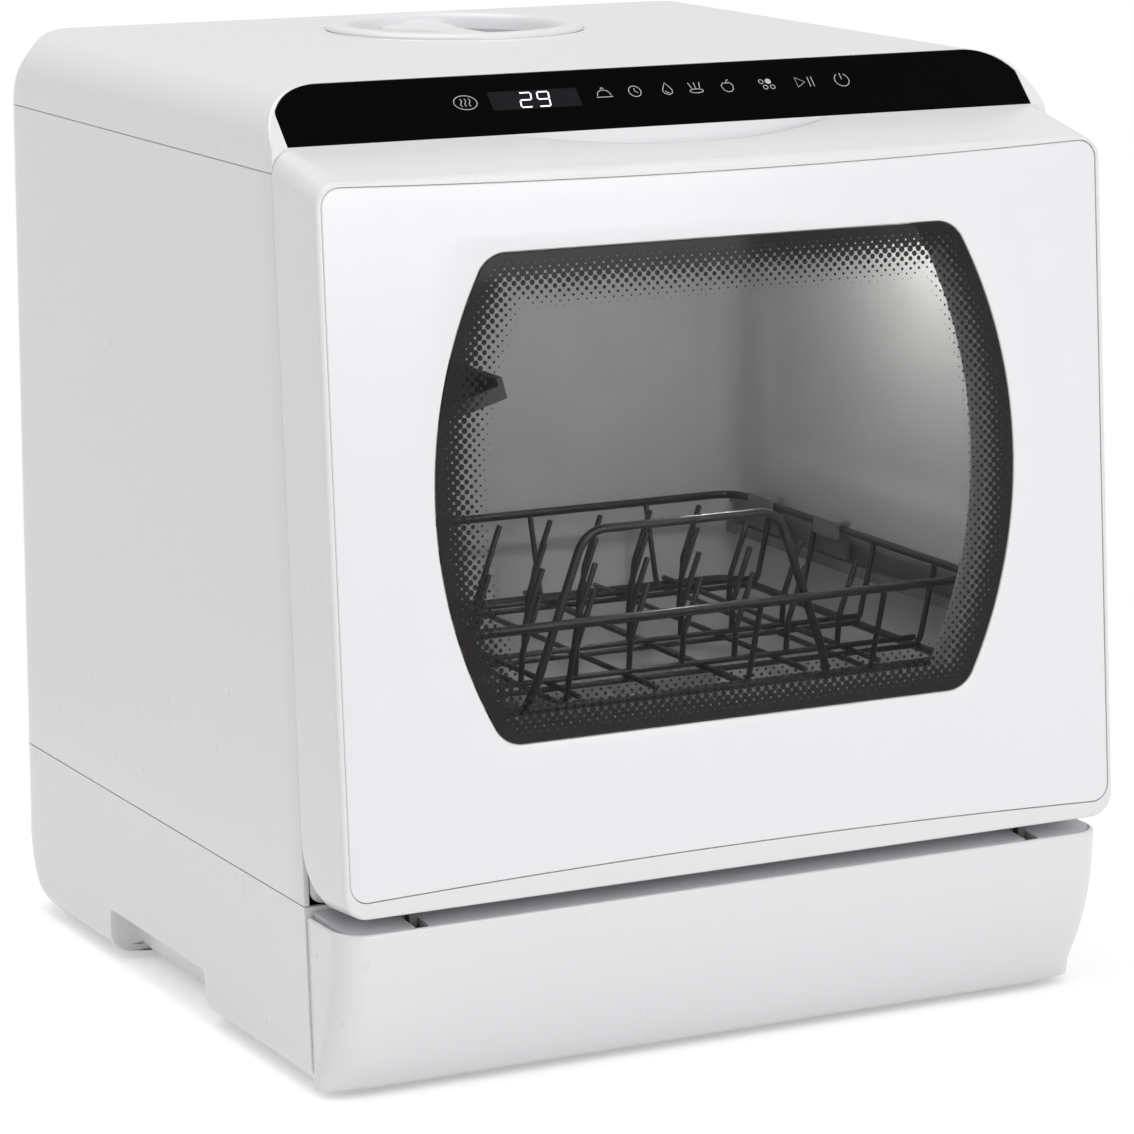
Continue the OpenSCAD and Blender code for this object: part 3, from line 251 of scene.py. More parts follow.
groups = {"plastic": makePlasticGroup(), "metal": makeMetalGroup(), "film": makeFilmGroup()}


def placeGroup(tree, key, **values):
    node = tree.nodes.new("ShaderNodeGroup")
    node.node_tree = groups[key]
    for label, value in values.items():
        node.inputs[label].default_value = (*value, 1) if label == "Colour" else value
    return node


finishes = {}


def startFinish(name, **sockets):
    material = bpy.data.materials.new(name)
    material.use_nodes = True
    shader = material.node_tree.nodes["Principled BSDF"]
    for label, value in sockets.items():
        shader.inputs[label.replace("_", " ")].default_value = value
    finishes[name] = material
    return material.node_tree, shader


def surfaced(name, key, sockets, **values):
    tree, shader = startFinish(name, **sockets)
    skin = placeGroup(tree, key, **values)
    for label, target in (("Colour", "Base Color"), ("Roughness", "Roughness"), ("Normal", "Normal")):
        tree.links.new(skin.outputs[label], shader.inputs[target])
    return tree, shader, skin


# Plastics: colour, grain per metre, depth of the grain, drift of the tone, roughness, coat.
plastics = {
    "whiteShell": ((0.80, 0.80, 0.815), 1400.0, 0.006, 0.020, 0.30, 0.25),
    "whiteDoor": ((0.83, 0.835, 0.85), 1600.0, 0.008, 0.012, 0.22, 0.45),
    "greyLedge": ((0.60, 0.60, 0.62), 1100.0, 0.05, 0.04, 0.42, 0.0),
    # The next grey is painted shade for the fill cap's deep bowl, not a grey plastic of its own.
    "paintedBowlShade": ((0.50, 0.505, 0.52), 1200.0, 0.03, 0.03, 0.38, 0.1),
    "greyTub": ((0.74, 0.75, 0.755), 700.0, 0.04, 0.04, 0.34, 0.1),
    "greyShelf": ((0.085, 0.085, 0.088), 900.0, 0.08, 0.05, 0.40, 0.1),
    "greyArm": ((0.34, 0.35, 0.36), 900.0, 0.06, 0.05, 0.38, 0.0),
    "greyRail": ((0.26, 0.265, 0.27), 900.0, 0.06, 0.05, 0.40, 0.0),
    "blackPump": ((0.03, 0.03, 0.033), 800.0, 0.12, 0.06, 0.50, 0.0),
    "milkyTank": ((0.74, 0.76, 0.76), 500.0, 0.05, 0.05, 0.36, 0.1),
    "orangeFloat": ((0.75, 0.22, 0.04), 700.0, 0.06, 0.05, 0.40, 0.0),
    "softSeal": ((0.055, 0.055, 0.058), 1200.0, 0.15, 0.08, 0.62, 0.0),
    "blackFoot": ((0.022, 0.022, 0.023), 1000.0, 0.20, 0.10, 0.70, 0.0),
    "coatedWire": ((0.028, 0.028, 0.030), 2200.0, 0.015, 0.03, 0.34, 0.25),
    "circuitLacquer": ((0.02, 0.14, 0.06), 1800.0, 0.20, 0.20, 0.35, 0.2),
}
for name, (colour, grain, depth, drift, rough, coat) in plastics.items():
    surfaced(name, "plastic", {"Coat_Weight": coat, "Coat_Roughness": 0.12},
             Colour=colour, Grain=grain, Depth=depth, Drift=drift, Smooth=rough)
metals = {
    "plainSteel": ((0.56, 0.56, 0.57), (60.0, 900.0, 900.0), 0.12, 0.28),
    "filterSteel": ((0.50, 0.50, 0.51), (900.0, 60.0, 900.0), 0.15, 0.32),
    "darkSteel": ((0.13, 0.13, 0.135), (60.0, 900.0, 900.0), 0.12, 0.42),
}
for name, (colour, stretch, depth, rough) in metals.items():
    surfaced(name, "metal", {"Metallic": 1.0}, Colour=colour, Stretch=stretch, Depth=depth, Smooth=rough)

# Perforated filter metal: rows of dark round holes on the drawn steel.
tree = finishes["filterSteel"].node_tree
shader = tree.nodes["Principled BSDF"]
sieve = addNode(tree, "TexVoronoi")
sieve.inputs["Scale"].default_value = 420.0
sieve.inputs["Randomness"].default_value = 0.0
tree.links.new(addNode(tree, "TexCoord").outputs["Object"], sieve.inputs["Vector"])
hole = calc(tree, "LESS_THAN", sieve.outputs["Distance"], 0.30)
metalTone = shader.inputs["Base Color"].links[0].from_socket
tree.links.new(blendColour(tree, hole, metalTone, (0.01, 0.01, 0.01)), shader.inputs["Base Color"])
tree.links.new(calc(tree, "SUBTRACT", 1.0, hole), shader.inputs["Metallic"])

# Glossy black of the control strip: near black, a clear coat with faint smears.
tree, shader = startFinish("blackStrip", Specular_IOR_Level=0.02)
film = placeGroup(tree, "film", Scale=22.0, Amount=0.35)
tree.links.new(blendColour(tree, film.outputs["Mask"], (0.0012, 0.0012, 0.0014), (0.004, 0.004, 0.0044)),
               shader.inputs["Base Color"])
tree.links.new(calc(tree, "MULTIPLY_ADD", film.outputs["Mask"], 0.35, 0.16), shader.inputs["Roughness"])
tree.links.new(film.outputs["Normal"], shader.inputs["Normal"])

# Lit marks: white ink that the lamp behind it makes a little uneven.
def makeInk(name, colour, glowStrength, drift):
    tree, shader = startFinish(name, Emission_Strength=glowStrength, Roughness=0.5, Specular_IOR_Level=0.05)
    coords = addNode(tree, "TexCoord").outputs["Object"]
    uneven = calc(tree, "MULTIPLY_ADD", noiseField(tree, coords, 120.0, 2.0), drift, 1.0 - drift / 2)
    lit = addNode(tree, "VectorMath", operation="SCALE")
    lit.inputs[0].default_value = colour
    tree.links.new(uneven, lit.inputs["Scale"])
    tree.links.new(lit.outputs[0], shader.inputs["Base Color"])
    tree.links.new(lit.outputs[0], shader.inputs["Emission Color"])


makeInk("iconInk", (0.44, 0.45, 0.47), 0.22, 0.5)
makeInk("digitInk", (0.86, 0.90, 0.95), 0.8, 0.3)
makeInk("displayGlow", (0.0070, 0.0075, 0.0085), 0.4, 0.6)
makeInk("lampLens", (0.95, 0.94, 0.90), 106.0, 0.1)

# Tinted pane: dark see-through glass. "rim" on its points says how far in from the edge they
# lie, and turns the border solid, then into a screen of dots that shrink away from the edge.
pane = {"tint": (0.016, 0.014, 0.013), "veil": 0.085, "band": 0.0040, "fade": 0.029, "pitch": 0.0033,
        "borderTone": (0.018, 0.0165, 0.015)}
tree, shader = startFinish("tintedPane", Specular_IOR_Level=0.18, IOR=1.45)
rim = addNode(tree, "Attribute", attribute_name="rim").outputs["Fac"]
coords = addNode(tree, "TexCoord").outputs["Object"]
turned = addNode(tree, "Mapping")
turned.inputs["Rotation"].default_value = (0, math.radians(45), 0)
turned.inputs["Scale"].default_value = (1 / pane["pitch"],) * 3
tree.links.new(coords, turned.inputs["Vector"])
split = addNode(tree, "SeparateXYZ")
tree.links.new(turned.outputs[0], split.inputs[0])
across = calc(tree, "SUBTRACT", calc(tree, "FRACT", split.outputs["X"]), 0.5)
upward = calc(tree, "SUBTRACT", calc(tree, "FRACT", split.outputs["Z"]), 0.5)
span = calc(tree, "SQRT", calc(tree, "ADD", calc(tree, "MULTIPLY", across, across), calc(tree, "MULTIPLY", upward, upward)))
ramp = addNode(tree, "MapRange")
for label, value in (("From Min", pane["band"]), ("From Max", pane["fade"]), ("To Min", 0.69), ("To Max", 0.0)):
    ramp.inputs[label].default_value = value
tree.links.new(rim, ramp.inputs["Value"])
printed = calc(tree, "LESS_THAN", span, ramp.outputs[0])
film = placeGroup(tree, "film", Scale=9.0, Amount=0.10)
veil = calc(tree, "ADD", film.outputs["Mask"], pane["veil"])
tree.links.new(calc(tree, "MAXIMUM", calc(tree, "MULTIPLY", printed, 0.97), veil), shader.inputs["Alpha"])
tree.links.new(blendColour(tree, printed, pane["tint"], pane["borderTone"]), shader.inputs["Base Color"])
tree.links.new(calc(tree, "MULTIPLY_ADD", film.outputs["Mask"], 0.3, 0.04), shader.inputs["Roughness"])
tree.links.new(film.outputs["Normal"], shader.inputs["Normal"])

tree, shader = startFinish("clearPane", Specular_IOR_Level=0.10, IOR=1.45)
film = placeGroup(tree, "film", Scale=12.0, Amount=0.12)
tree.links.new(calc(tree, "ADD", film.outputs["Mask"], 0.02), shader.inputs["Alpha"])
tree.links.new(blendColour(tree, film.outputs["Mask"], (0.10, 0.11, 0.11), (0.3, 0.3, 0.3)), shader.inputs["Base Color"])
tree.links.new(calc(tree, "MULTIPLY_ADD", film.outputs["Mask"], 0.4, 0.03), shader.inputs["Roughness"])
tree.links.new(film.outputs["Normal"], shader.inputs["Normal"])
print("finishes:", len(finishes))

# A grid of points becomes faces row by row; wrapped rows or columns close on themselves.
def gridFaces(rows, columns, wrapRows, wrapColumns):
    i, j = np.meshgrid(np.arange(rows - (not wrapRows)), np.arange(columns - (not wrapColumns)), indexing="ij")
    down, right = (i + 1) % rows, (j + 1) % columns
    return np.stack([i * columns + j, i * columns + right, down * columns + right, down * columns + j], -1).reshape(-1, 4)


# A piece is a list of sheets, each (points in millimetres, wrapRows, wrapColumns), made one mesh.
def makePiece(name, sheets, finish, body, stands=(), sharp=32, wall=0.0, bevel=0.0, fields=None):
    points, faces, start = [], [], 0
    for grid, wrapRows, wrapColumns in sheets:
        rows, columns = grid.shape[:2]
        points.append(grid.reshape(-1, 3) * mm)
        faces.append(gridFaces(rows, columns, wrapRows, wrapColumns) + start)
        start += rows * columns
    mesh = bpy.data.meshes.new(name)
    mesh.from_pydata(np.concatenate(points).tolist(), [], np.concatenate(faces).tolist())
    if fields is not None:
        for label, values in fields.items():
            layer = mesh.attributes.new(label, "FLOAT", "POINT")
            layer.data.foreach_set("value", np.asarray(values, dtype=np.float32))
    work = bmesh.new()
    work.from_mesh(mesh)
    bmesh.ops.remove_doubles(work, verts=work.verts, dist=2e-6)
    bmesh.ops.dissolve_degenerate(work, edges=work.edges, dist=1e-6)
    bmesh.ops.recalc_face_normals(work, faces=work.faces)
    if wall:
        # An open sheet faces away from the middle of the machine before its wall grows.
        heart = Vector((0, 0, 0.26))
        if sum(face.calc_area() * face.normal.dot(face.calc_center_median() - heart) for face in work.faces) < 0:
            bmesh.ops.reverse_faces(work, faces=work.faces)
    work.to_mesh(mesh)
    work.free()
    mesh.polygons.foreach_set("use_smooth", [True] * len(mesh.polygons))
    mesh.set_sharp_from_angle(angle=math.radians(sharp))
    piece = bpy.data.objects.new(name, mesh)
    bpy.context.scene.collection.objects.link(piece)
    mesh.materials.append(finishes[finish])
    if wall:
        shell = piece.modifiers.new("wall", "SOLIDIFY")
        shell.thickness = abs(wall) * mm
        shell.offset = -1 if wall > 0 else 1
    if bevel:
        soften = piece.modifiers.new("soften", "BEVEL")
        soften.width = bevel * mm
        soften.segments = 2
        soften.limit_method = "ANGLE"
        soften.angle_limit = math.radians(40)
    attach(piece, body)
    if stands:
        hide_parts(*stands)
    return piece


# Cuts a closed cutter out of a piece for good, and throws the cutter away.
def cutOut(piece, sheets):
    cutter = bpy.data.meshes.new("cutter")
    points, faces, start = [], [], 0
    for grid, wrapRows, wrapColumns in sheets:
        points.append(grid.reshape(-1, 3) * mm)
        faces.append(gridFaces(*grid.shape[:2], wrapRows, wrapColumns) + start)
        start += grid.shape[0] * grid.shape[1]
    cutter.from_pydata(np.concatenate(points).tolist(), [], np.concatenate(faces).tolist())
    work = bmesh.new()
    work.from_mesh(cutter)
    bmesh.ops.remove_doubles(work, verts=work.verts, dist=2e-6)
    bmesh.ops.dissolve_degenerate(work, edges=work.edges, dist=1e-6)
    bmesh.ops.recalc_face_normals(work, faces=work.faces)
    work.to_mesh(cutter)
    work.free()
    tool = bpy.data.objects.new("cutter", cutter)
    bpy.context.scene.collection.objects.link(tool)
    cut = piece.modifiers.new("cut", "BOOLEAN")
    cut.object = tool
    cut.solver = "EXACT"
    bpy.context.view_layer.update()
    bpy.context.view_layer.objects.active = piece
    with bpy.context.temp_override(object=piece, active_object=piece):
        bpy.ops.object.modifier_apply(modifier="cut")
    bpy.data.objects.remove(tool)


# A round bar: rings from the axis out to the radius, up the side and back to the axis.
def barSheet(centre, radius, low, high, count=96):
    turn = np.linspace(0, 2 * np.pi, count, endpoint=False)
    out = np.array([0, radius, radius, 0])[:, None]
    tall = np.array([low, low, high, high])[:, None]
    ones = np.ones_like(turn)[None]
    return np.stack([centre[0] + out * np.cos(turn), centre[1] + out * np.sin(turn), tall * ones], -1), False, True


# An arc: centre + radius x (cos, sin) of an angle that runs from first to last.
def turnArc(centre, radius, first, last, count):
    angle = np.radians(np.linspace(first, last, count + 1))
    return np.column_stack([centre[0] + radius * np.cos(angle), centre[1] + radius * np.sin(angle)])


# A smooth step: u x u x (3 - 2u), with u running from 0 at low to 1 at high.
def easeIn(value, low, high):
    u = np.clip((value - low) / (high - low), 0, 1)
    return u * u * (3 - 2 * u)


# Outline of the leaning front, shared by everything that meets the door.
front = {"lean": 4.5, "doorFoot": 95.3, "doorThick": 46.8, "halfWidth": 210, "halfDepth": 211}
lean = math.radians(front["lean"])
doorStart = -front["halfDepth"] - front["doorFoot"] * math.sin(lean)


# The plane of the casing's front, which leans back with height.
def faceY(z):
    return doorStart + front["doorThick"] / math.cos(lean) + z * math.tan(lean)


# A point in the door's own frame: across, in from its face, up along its face.
def leaned(x, depth, height):
    x, depth, height = np.broadcast_arrays(x, depth, height)
    return np.stack([x, doorStart + depth * math.cos(lean) + height * math.sin(lean),
                     height * math.cos(lean) - depth * math.sin(lean)], -1).astype(float)


# Cover: an outline in x and z, whose shoulders are quarters of |x|^n + |z|^n = r^n, is carried
# back along y; where it rounds over its back edge each point moves in along its own normal.
cover = {"seam": 431.0, "top": 468.0, "shoulder": 40.0, "fullness": 2.8, "sideBack": 25.0, "topBack": 13.0, "backWide": 52.0, "bulge": 10.0,
         "stripFoot": 442.0, "wall": 3.0, "capHole": 61.0, "capAt": 101.0, "lipRound": 1.6}


def stripY(z):
    return faceY(np.minimum(z, cover["stripFoot"])) + np.maximum(z - cover["stripFoot"], 0)


# Half width of the casing at a height: full below the shoulder, drawn in over it.
def reachAt(z):
    r = cover["shoulder"]
    up = np.clip((z - cover["top"] + r) / r, 0, 1)
    return front["halfWidth"] - r + r * (1 - up ** cover["fullness"]) ** (1 / cover["fullness"])


def coverOutline(within):
    r, w, n, top = cover["shoulder"] - within, front["halfWidth"] - within, cover["fullness"], cover["top"] - within
    lowest = math.asin(((cover["seam"] - top + r) / r) ** (n / 2))
    turn = np.linspace(lowest, math.pi / 2, 41)
    out, up = np.maximum(np.cos(turn), 0) ** (2 / n), np.sin(turn) ** (2 / n)
    right = np.column_stack([w - r + r * out, top - r + r * up])
    away = np.column_stack([out ** (n - 1), up ** (n - 1)])
    away /= np.linalg.norm(away, axis=1)[:, None]
    flat = np.column_stack([np.linspace(w - r, r - w, 62)[1:-1], np.full(60, top)])
    outline = np.concatenate([right, flat, right[::-1] * [-1, 1]])
    return outline, np.concatenate([away, flat * 0 + [0, 1], away[::-1] * [-1, 1]])


# The cover's back face has an outline of its own, as far in as the long edges are round, with an elliptic shoulder.
def backOutline():
    wide, tall = front["halfWidth"] - cover["sideBack"], cover["top"] - cover["topBack"]
    turn = np.linspace(0, math.pi / 2, 41)
    right = np.column_stack([wide - cover["backWide"] * (1 - np.cos(turn)), cover["seam"] + (tall - cover["seam"]) * np.sin(turn)])
    reach = wide - cover["backWide"]
    flat = np.column_stack([np.linspace(reach, -reach, 62)[1:-1], np.full(60, tall)])
    return np.concatenate([right, flat, right[::-1] * [-1, 1]])


# The cover's skin, or the same a little way within: a lip up the face, the long run back, the round
# to the back face and the back face down to the seam.
def coverSheet(within):
    outline, normal = coverOutline(within)
    lift = normal[:, 1] ** 2
    radius = cover["sideBack"] * (1 - lift) + cover["topBack"] * lift - within + 4 * cover["bulge"] * lift * (1 - lift)
    edge = 0.8 + cover["lipRound"] * (2 * normal[:, 0] * normal[:, 1]) ** 2
    turn = np.radians(np.linspace(0, 90, 7))[:, None]
    inset = edge * (1 - np.sin(turn))
    across = outline[:, 0] - normal[:, 0] * inset
    height = np.maximum(outline[:, 1] - normal[:, 1] * inset, cover["seam"])
    start = stripY(height[0]) + edge + 1.5 * within
    stop = front["halfDepth"] - within - radius
    along = np.linspace(0, 1, 34)[1:, None]
    back = np.radians(np.linspace(0, 90, 15))[1:, None]
    y = np.concatenate([start - edge * np.cos(turn), start + (stop - start) * along, stop + radius * np.sin(back)])
    move = np.concatenate([0 * along, 1 - np.cos(back)])[:, :, None]
    skin = np.concatenate([np.stack([across, height], -1), outline + (backOutline() - outline) * move])
    skin = np.stack([skin[..., 0], y, skin[..., 1]], -1)
    down = np.linspace(0, 1, 6)[1:, None]
    tail = skin[-1] * 1
    tail = np.stack([tail[:, 0] + 0 * down, tail[:, 1] + 0 * down, tail[:, 2] + (cover["seam"] - tail[:, 2]) * down], -1)
    z = np.minimum(np.array([431, 436, 441.4, 442, 442.8, 448, 454, 460, 465])[:, None], skin[0, :, 2])
    lip = np.stack([skin[0, :, 0] + 0 * z, stripY(z) + 1.5 * within, z], -1)
    return np.concatenate([lip, skin, tail])


def makeCover():
    outer, inner = coverSheet(0), coverSheet(cover["wall"])
    rims = [np.stack([outer[row], inner[row]]) for row in (0, -1)]
    rims += [np.stack([outer[:, column], inner[:, column]]) for column in (0, -1)]
    piece = makePiece("topCover", [(sheet, False, False) for sheet in [outer, inner] + rims], "whiteShell",
                      "cabinet", ["top_cover"])
    cutOut(piece, [barSheet((0, cover["capAt"]), cover["capHole"], 440, 480)])
    return piece


topCover = makeCover()

# Side panels: a plan line from the face, round the back corner, is carried up in z.
side = {"low": 91.0, "high": 430.6, "backEdge": 178.4, "wall": 3.0, "soften": 0.5}


def makeSide(name, sign, stands):
    w, d, r = front["halfWidth"], front["halfDepth"], cover["sideBack"]
    z = np.concatenate([np.linspace(side["low"], 428, 16), [429.3, side["high"]]])[:, None]
    tuck = w - reachAt(z)
    along = np.linspace(0, 1, 24)
    run = np.stack([w - tuck + 0 * along, faceY(z) + (d - r - faceY(z)) * along, z + 0 * along], -1)
    turn = np.radians(np.linspace(0, 90, 17))[1:]
    bend = np.stack([w - r + (r - tuck) * np.cos(turn), d - r + r * np.sin(turn) + 0 * z, z + 0 * turn], -1)
    tail = np.stack([side["backEdge"] + 0 * z, d + 0 * z, z], -1)
    sheet = np.concatenate([run, bend, tail], 1) * [sign, 1, 1]
    return makePiece(name, [(sheet, False, False)], "whiteShell", "cabinet", [stands],
                     wall=side["wall"], bevel=side["soften"])


makeSide("leftPanel", -1, "left_panel")
makeSide("rightPanel", 1, "right_panel")

# Base: for each height the plan is a rounded rectangle, drawn in by r - sqrt(r^2 - t^2) near
# the table; a finger notch is pressed into each side; the wall folds over and comes down inside.
base = {"foot": 4.0, "top": 90.6, "sideCurve": 12.0, "heel": 38.0, "wall": 3.0, "notchBack": 79.0, "notchFront": -45.0,
        "notchTop": 28.0, "notchDeep": 14.0}


def basePlan(z, inset):
    w, d = front["halfWidth"], front["halfDepth"]
    low = lambda r: r - np.sqrt(np.maximum(r * r - np.maximum(base["foot"] + r - z, 0) ** 2, 0))
    hx, hy = w - low(base["sideCurve"]) - inset, d - low(base["heel"]) - inset
    r = 25 - inset + 0 * z
    y0 = faceY(z) + inset
    n0, n1 = base["notchFront"], base["notchBack"]
    run = np.concatenate([np.linspace(y0, n0 - 2, 22), np.linspace(n0, n0 + 16, 17), np.linspace(n0 + 20, n1 - 6, 20),
                          np.linspace(n1 - 4, n1 + 1, 11), np.linspace(n1 + 4, hy - r, 12)])
    turn = np.radians(np.linspace(0, 90, 13))[1:-1]
    fore = np.linspace(-1, 1, 40)
    parts = [
        np.stack([-hx + 0 * run, run], -1),
        np.stack([-hx + r - r * np.cos(turn), hy - r + r * np.sin(turn)], -1),
        np.stack([fore * (hx - r), hy + 0 * fore], -1),
        np.stack([hx - r + r * np.sin(turn), hy - r + r * np.cos(turn)], -1),
        np.stack([hx + 0 * run, run[::-1]], -1),
        np.stack([-fore[1:-1] * hx, y0 + 0 * fore[1:-1]], -1)]
    ring = np.concatenate(parts)
    sideways = np.abs(ring[:, 0]) > hx - 2
    pressed = (easeIn(ring[:, 1], n0, n0 + 14) * (1 - easeIn(ring[:, 1], n1 - 3, n1))
               * (1 - easeIn(z, base["notchTop"] - 4, base["notchTop"])) * sideways)
    ring[:, 0] -= np.sign(ring[:, 0]) * base["notchDeep"] * pressed
    return np.column_stack([ring, np.full(len(ring), z)])


def makeBase():
    heights = np.concatenate([base["foot"] + 12 * (1 - np.cos(np.radians(np.linspace(8, 90, 9)))), [18, 20.5],
                              np.linspace(22.5, 29.5, 15), np.linspace(33, 42, 4), np.linspace(46, base["top"], 10)])
    outer = [basePlan(z, 0) for z in heights]
    inner = [basePlan(z, base["wall"]) for z in heights[::-1] if z > 8]
    flat = outer[0] * [0.0, 0.0, 1.0] + [0, 10, 0]
    shelf = inner[-1] * [0.0, 0.0, 1.0] + [0, 10, 0]
    rows = [flat, *outer, *inner, shelf]
    return makePiece("baseTray", [(np.stack(rows), False, True)], "whiteShell", "cabinet", ["base_tray"],
                     sharp=38)


makeBase()

# Skirt: a plan line with two round corners is carried down in z; its front edge curls back
# by curl x (drop / whole drop)^2.2 while the corners, quarter ellipses, grow wider with its cube.
skirt = {"lip": 86.0, "lipY": -205.5, "curl": 24.0, "corner": 15.0, "spread": 17.0, "half": 209.0, "wall": 3.0, "foot": 4.0, "round": 1.4}


def makeSkirt():
    z = np.concatenate([skirt["lip"] - skirt["round"] * (1 - np.cos(np.radians(np.linspace(0, 90, 5)))),
                        np.linspace(83, skirt["foot"], 34)])[:, None]
    edge = np.maximum(z - (skirt["lip"] - skirt["round"]), 0)
    tuck = skirt["round"] - np.sqrt(np.maximum(skirt["round"] ** 2 - edge ** 2, 0))
    drop = np.clip((skirt["lip"] - z) / (skirt["lip"] - skirt["foot"]), 0, 1)
    y0 = skirt["lipY"] + skirt["curl"] * drop ** 2.2 + tuck
    half, back = skirt["half"] - tuck, faceY(z) - 0.4
    r = np.minimum(skirt["corner"], 0.9 * (back - y0))
    wide = skirt["corner"] + skirt["spread"] * drop ** 3
    along = np.linspace(0, 1, 8)[:-1]
    turn = np.radians(np.linspace(0, 90, 15))
    fore = np.linspace(-1, 1, 60)[1:-1]
    left = np.concatenate([
        np.stack([-half + 0 * along, back + (y0 + r - back) * along, z + 0 * along], -1),
        np.stack([-half + wide * (1 - np.cos(turn)), y0 + r * (1 - np.sin(turn)), z + 0 * turn], -1)], 1)
    middle = np.stack([fore * (half - wide), y0 + 0 * fore, z + 0 * fore], -1)
    sheet = np.concatenate([left, middle, left[:, ::-1] * [-1, 1, 1]], 1)
    return makePiece("frontSkirt", [(sheet, False, False)], "whiteShell", "cabinet", ["front_skirt"],
                     wall=skirt["wall"], bevel=0.4)


makeSkirt()
print("casing: cover, sides, base and skirt")

# Rings round the door and its window all have the same number of points, corner for corner,
# so that any two of them can be joined by a ruled surface.
ringCount = {"corner": 12, "across": 140, "upright": 40}


def cornerRing(corners, topLine, lowLine, rightLine, leftLine):
    n = ringCount
    u = np.linspace(0, 1, n["across"])[1:-1]
    v = np.linspace(0, 1, n["upright"])[1:-1]
    rt, lt, lb, rb = corners
    return np.concatenate([rt, topLine(u, rt[-1], lt[0]), lt, leftLine(v, lt[-1], lb[0]), lb,
                           lowLine(u, lb[-1], rb[0]), rb, rightLine(v, rb[-1], rt[0])])


def straight(u, a, b):
    return a + (b - a) * u[:, None]


def bowed(depth):
    return lambda u, a, b: a + (b - a) * u[:, None] + np.column_stack([0 * u, depth * (1 - (2 * u - 1) ** 2)])


def boxRing(half, low, high, r, topBow=0.0, lowBow=0.0):
    n = ringCount["corner"]
    corners = (turnArc((half - r, high - r), r, 0, 90, n), turnArc((r - half, high - r), r, 90, 180, n),
               turnArc((r - half, low + r), r, 180, 270, n), turnArc((half - r, low + r), r, 270, 360, n))
    return cornerRing(corners, bowed(-topBow), bowed(lowBow), straight, straight)


# Window: straight above and below, and each side is an arc of one large circle.
window = {"half": 156.0, "height": 228.0, "sideRadius": 225.0, "corner": 16.0, "middle": 282.0, "lap": 6.0}


def windowRing(grow):
    w = window
    cx, pz = w["half"] - w["sideRadius"], w["height"] / 2 - w["corner"]
    px = cx + math.sqrt((w["sideRadius"] - w["corner"]) ** 2 - pz * pz)
    a = math.degrees(math.atan2(pz, px - cx))
    n, r, big = ringCount["corner"], w["corner"] + grow, w["sideRadius"] + grow
    corners = (turnArc((px, pz), r, a, 90, n), turnArc((-px, pz), r, 90, 180 - a, n),
               turnArc((-px, -pz), r, 180 + a, 270, n), turnArc((px, -pz), r, 270, 360 - a, n))
    bulge = ringCount["upright"] - 1
    leftLine = lambda v, p, q: turnArc((-cx, 0), big, 180 - a, 180 + a, bulge)[1:-1]
    rightLine = lambda v, p, q: turnArc((cx, 0), big, -a, a, bulge)[1:-1]
    ring = cornerRing(corners, straight, straight, rightLine, leftLine)
    return ring + [0, w["middle"]]


def onDoor(ring, depth):
    return leaned(ring[:, 0], depth, ring[:, 1])


# Door shell: rings from the inner back edge, over the outside to the front, down into the
# pocket of the front plate, through the window hole and back along the inside.
door = {"half": 210.0, "foot": 95.3, "front": 432.0, "back": 446.6, "depth": 46.3, "heel": 20.0, "corner": 12.0,
        "wall": 2.5, "edge": 2.2, "scoopHalf": 83.0, "scoopDeep": 22.0, "scoopFloor": 436.0, "insideTop": 429.5}
plate = {"half": 207.0, "low": 103.3, "high": 430.4, "corner": 9.0, "bow": 3.5, "thick": 2.4, "edge": 0.9}


def doorOuter(depth, inset=0.0):
    top = door["front"] + 0.8 + (door["back"] - door["front"] - 0.8) * max(depth - 2, 0) / (door["depth"] - 2)
    heel = max(depth - (door["depth"] - door["heel"]), 0)
    low = door["foot"] + door["heel"] - math.sqrt(door["heel"] ** 2 - heel ** 2)
    round_ = door["edge"] - math.sqrt(max(door["edge"] ** 2 - max(door["edge"] - depth, 0) ** 2, 0))
    inset = inset + round_
    ring = boxRing(door["half"] - inset, low + inset, top - inset, door["corner"] - inset)
    big = (door["scoopHalf"] ** 2 + door["scoopDeep"] ** 2) / (2 * door["scoopDeep"])
    near = np.abs(ring[:, 0]) < door["scoopHalf"]
    rim = door["depth"] + big - door["scoopDeep"] - np.sqrt(np.maximum(big ** 2 - ring[:, 0] ** 2, 0))
    sunk = near * (ring[:, 1] > door["front"] - 8) * easeIn(depth - rim, 0, 3.5) * np.maximum(ring[:, 1] - door["scoopFloor"], 0)
    ring[:, 1] -= sunk
    return ring


def doorInner(depth):
    heel = max(depth - (door["depth"] - door["heel"]), 0)
    low = door["foot"] + door["heel"] - math.sqrt(door["heel"] ** 2 - heel ** 2) + door["wall"]
    return boxRing(door["half"] - door["wall"], low, door["insideTop"], door["corner"] - door["wall"])


def plateRing(grow=0.0):
    return boxRing(plate["half"] + grow, plate["low"] - grow, plate["high"] + grow, plate["corner"] + grow,
                   plate["bow"], plate["bow"])


def makeDoorShell():
    depths = np.concatenate([np.linspace(door["depth"], 22, 40), np.linspace(21, 3, 10),
                             door["edge"] * (1 - np.sin(np.radians(np.linspace(0, 90, 7))))])
    rows = [onDoor(doorInner(door["depth"]), door["depth"])]
    rows += [onDoor(doorOuter(d), d) for d in depths]
    pocket = plate["thick"] + 0.1
    rows += [onDoor(plateRing(0.3), 0), onDoor(plateRing(0.3), pocket), onDoor(windowRing(window["lap"] + 0.5), pocket),
             onDoor(windowRing(window["lap"] + 0.5), pocket + door["wall"]), onDoor(doorInner(5), pocket + door["wall"])]
    rows += [onDoor(doorInner(d), d) for d in np.linspace(8, 44, 14)]
    return makePiece("doorShell", [(np.stack(rows), True, True)], "whiteShell", "door", ["door_shell"], sharp=30)


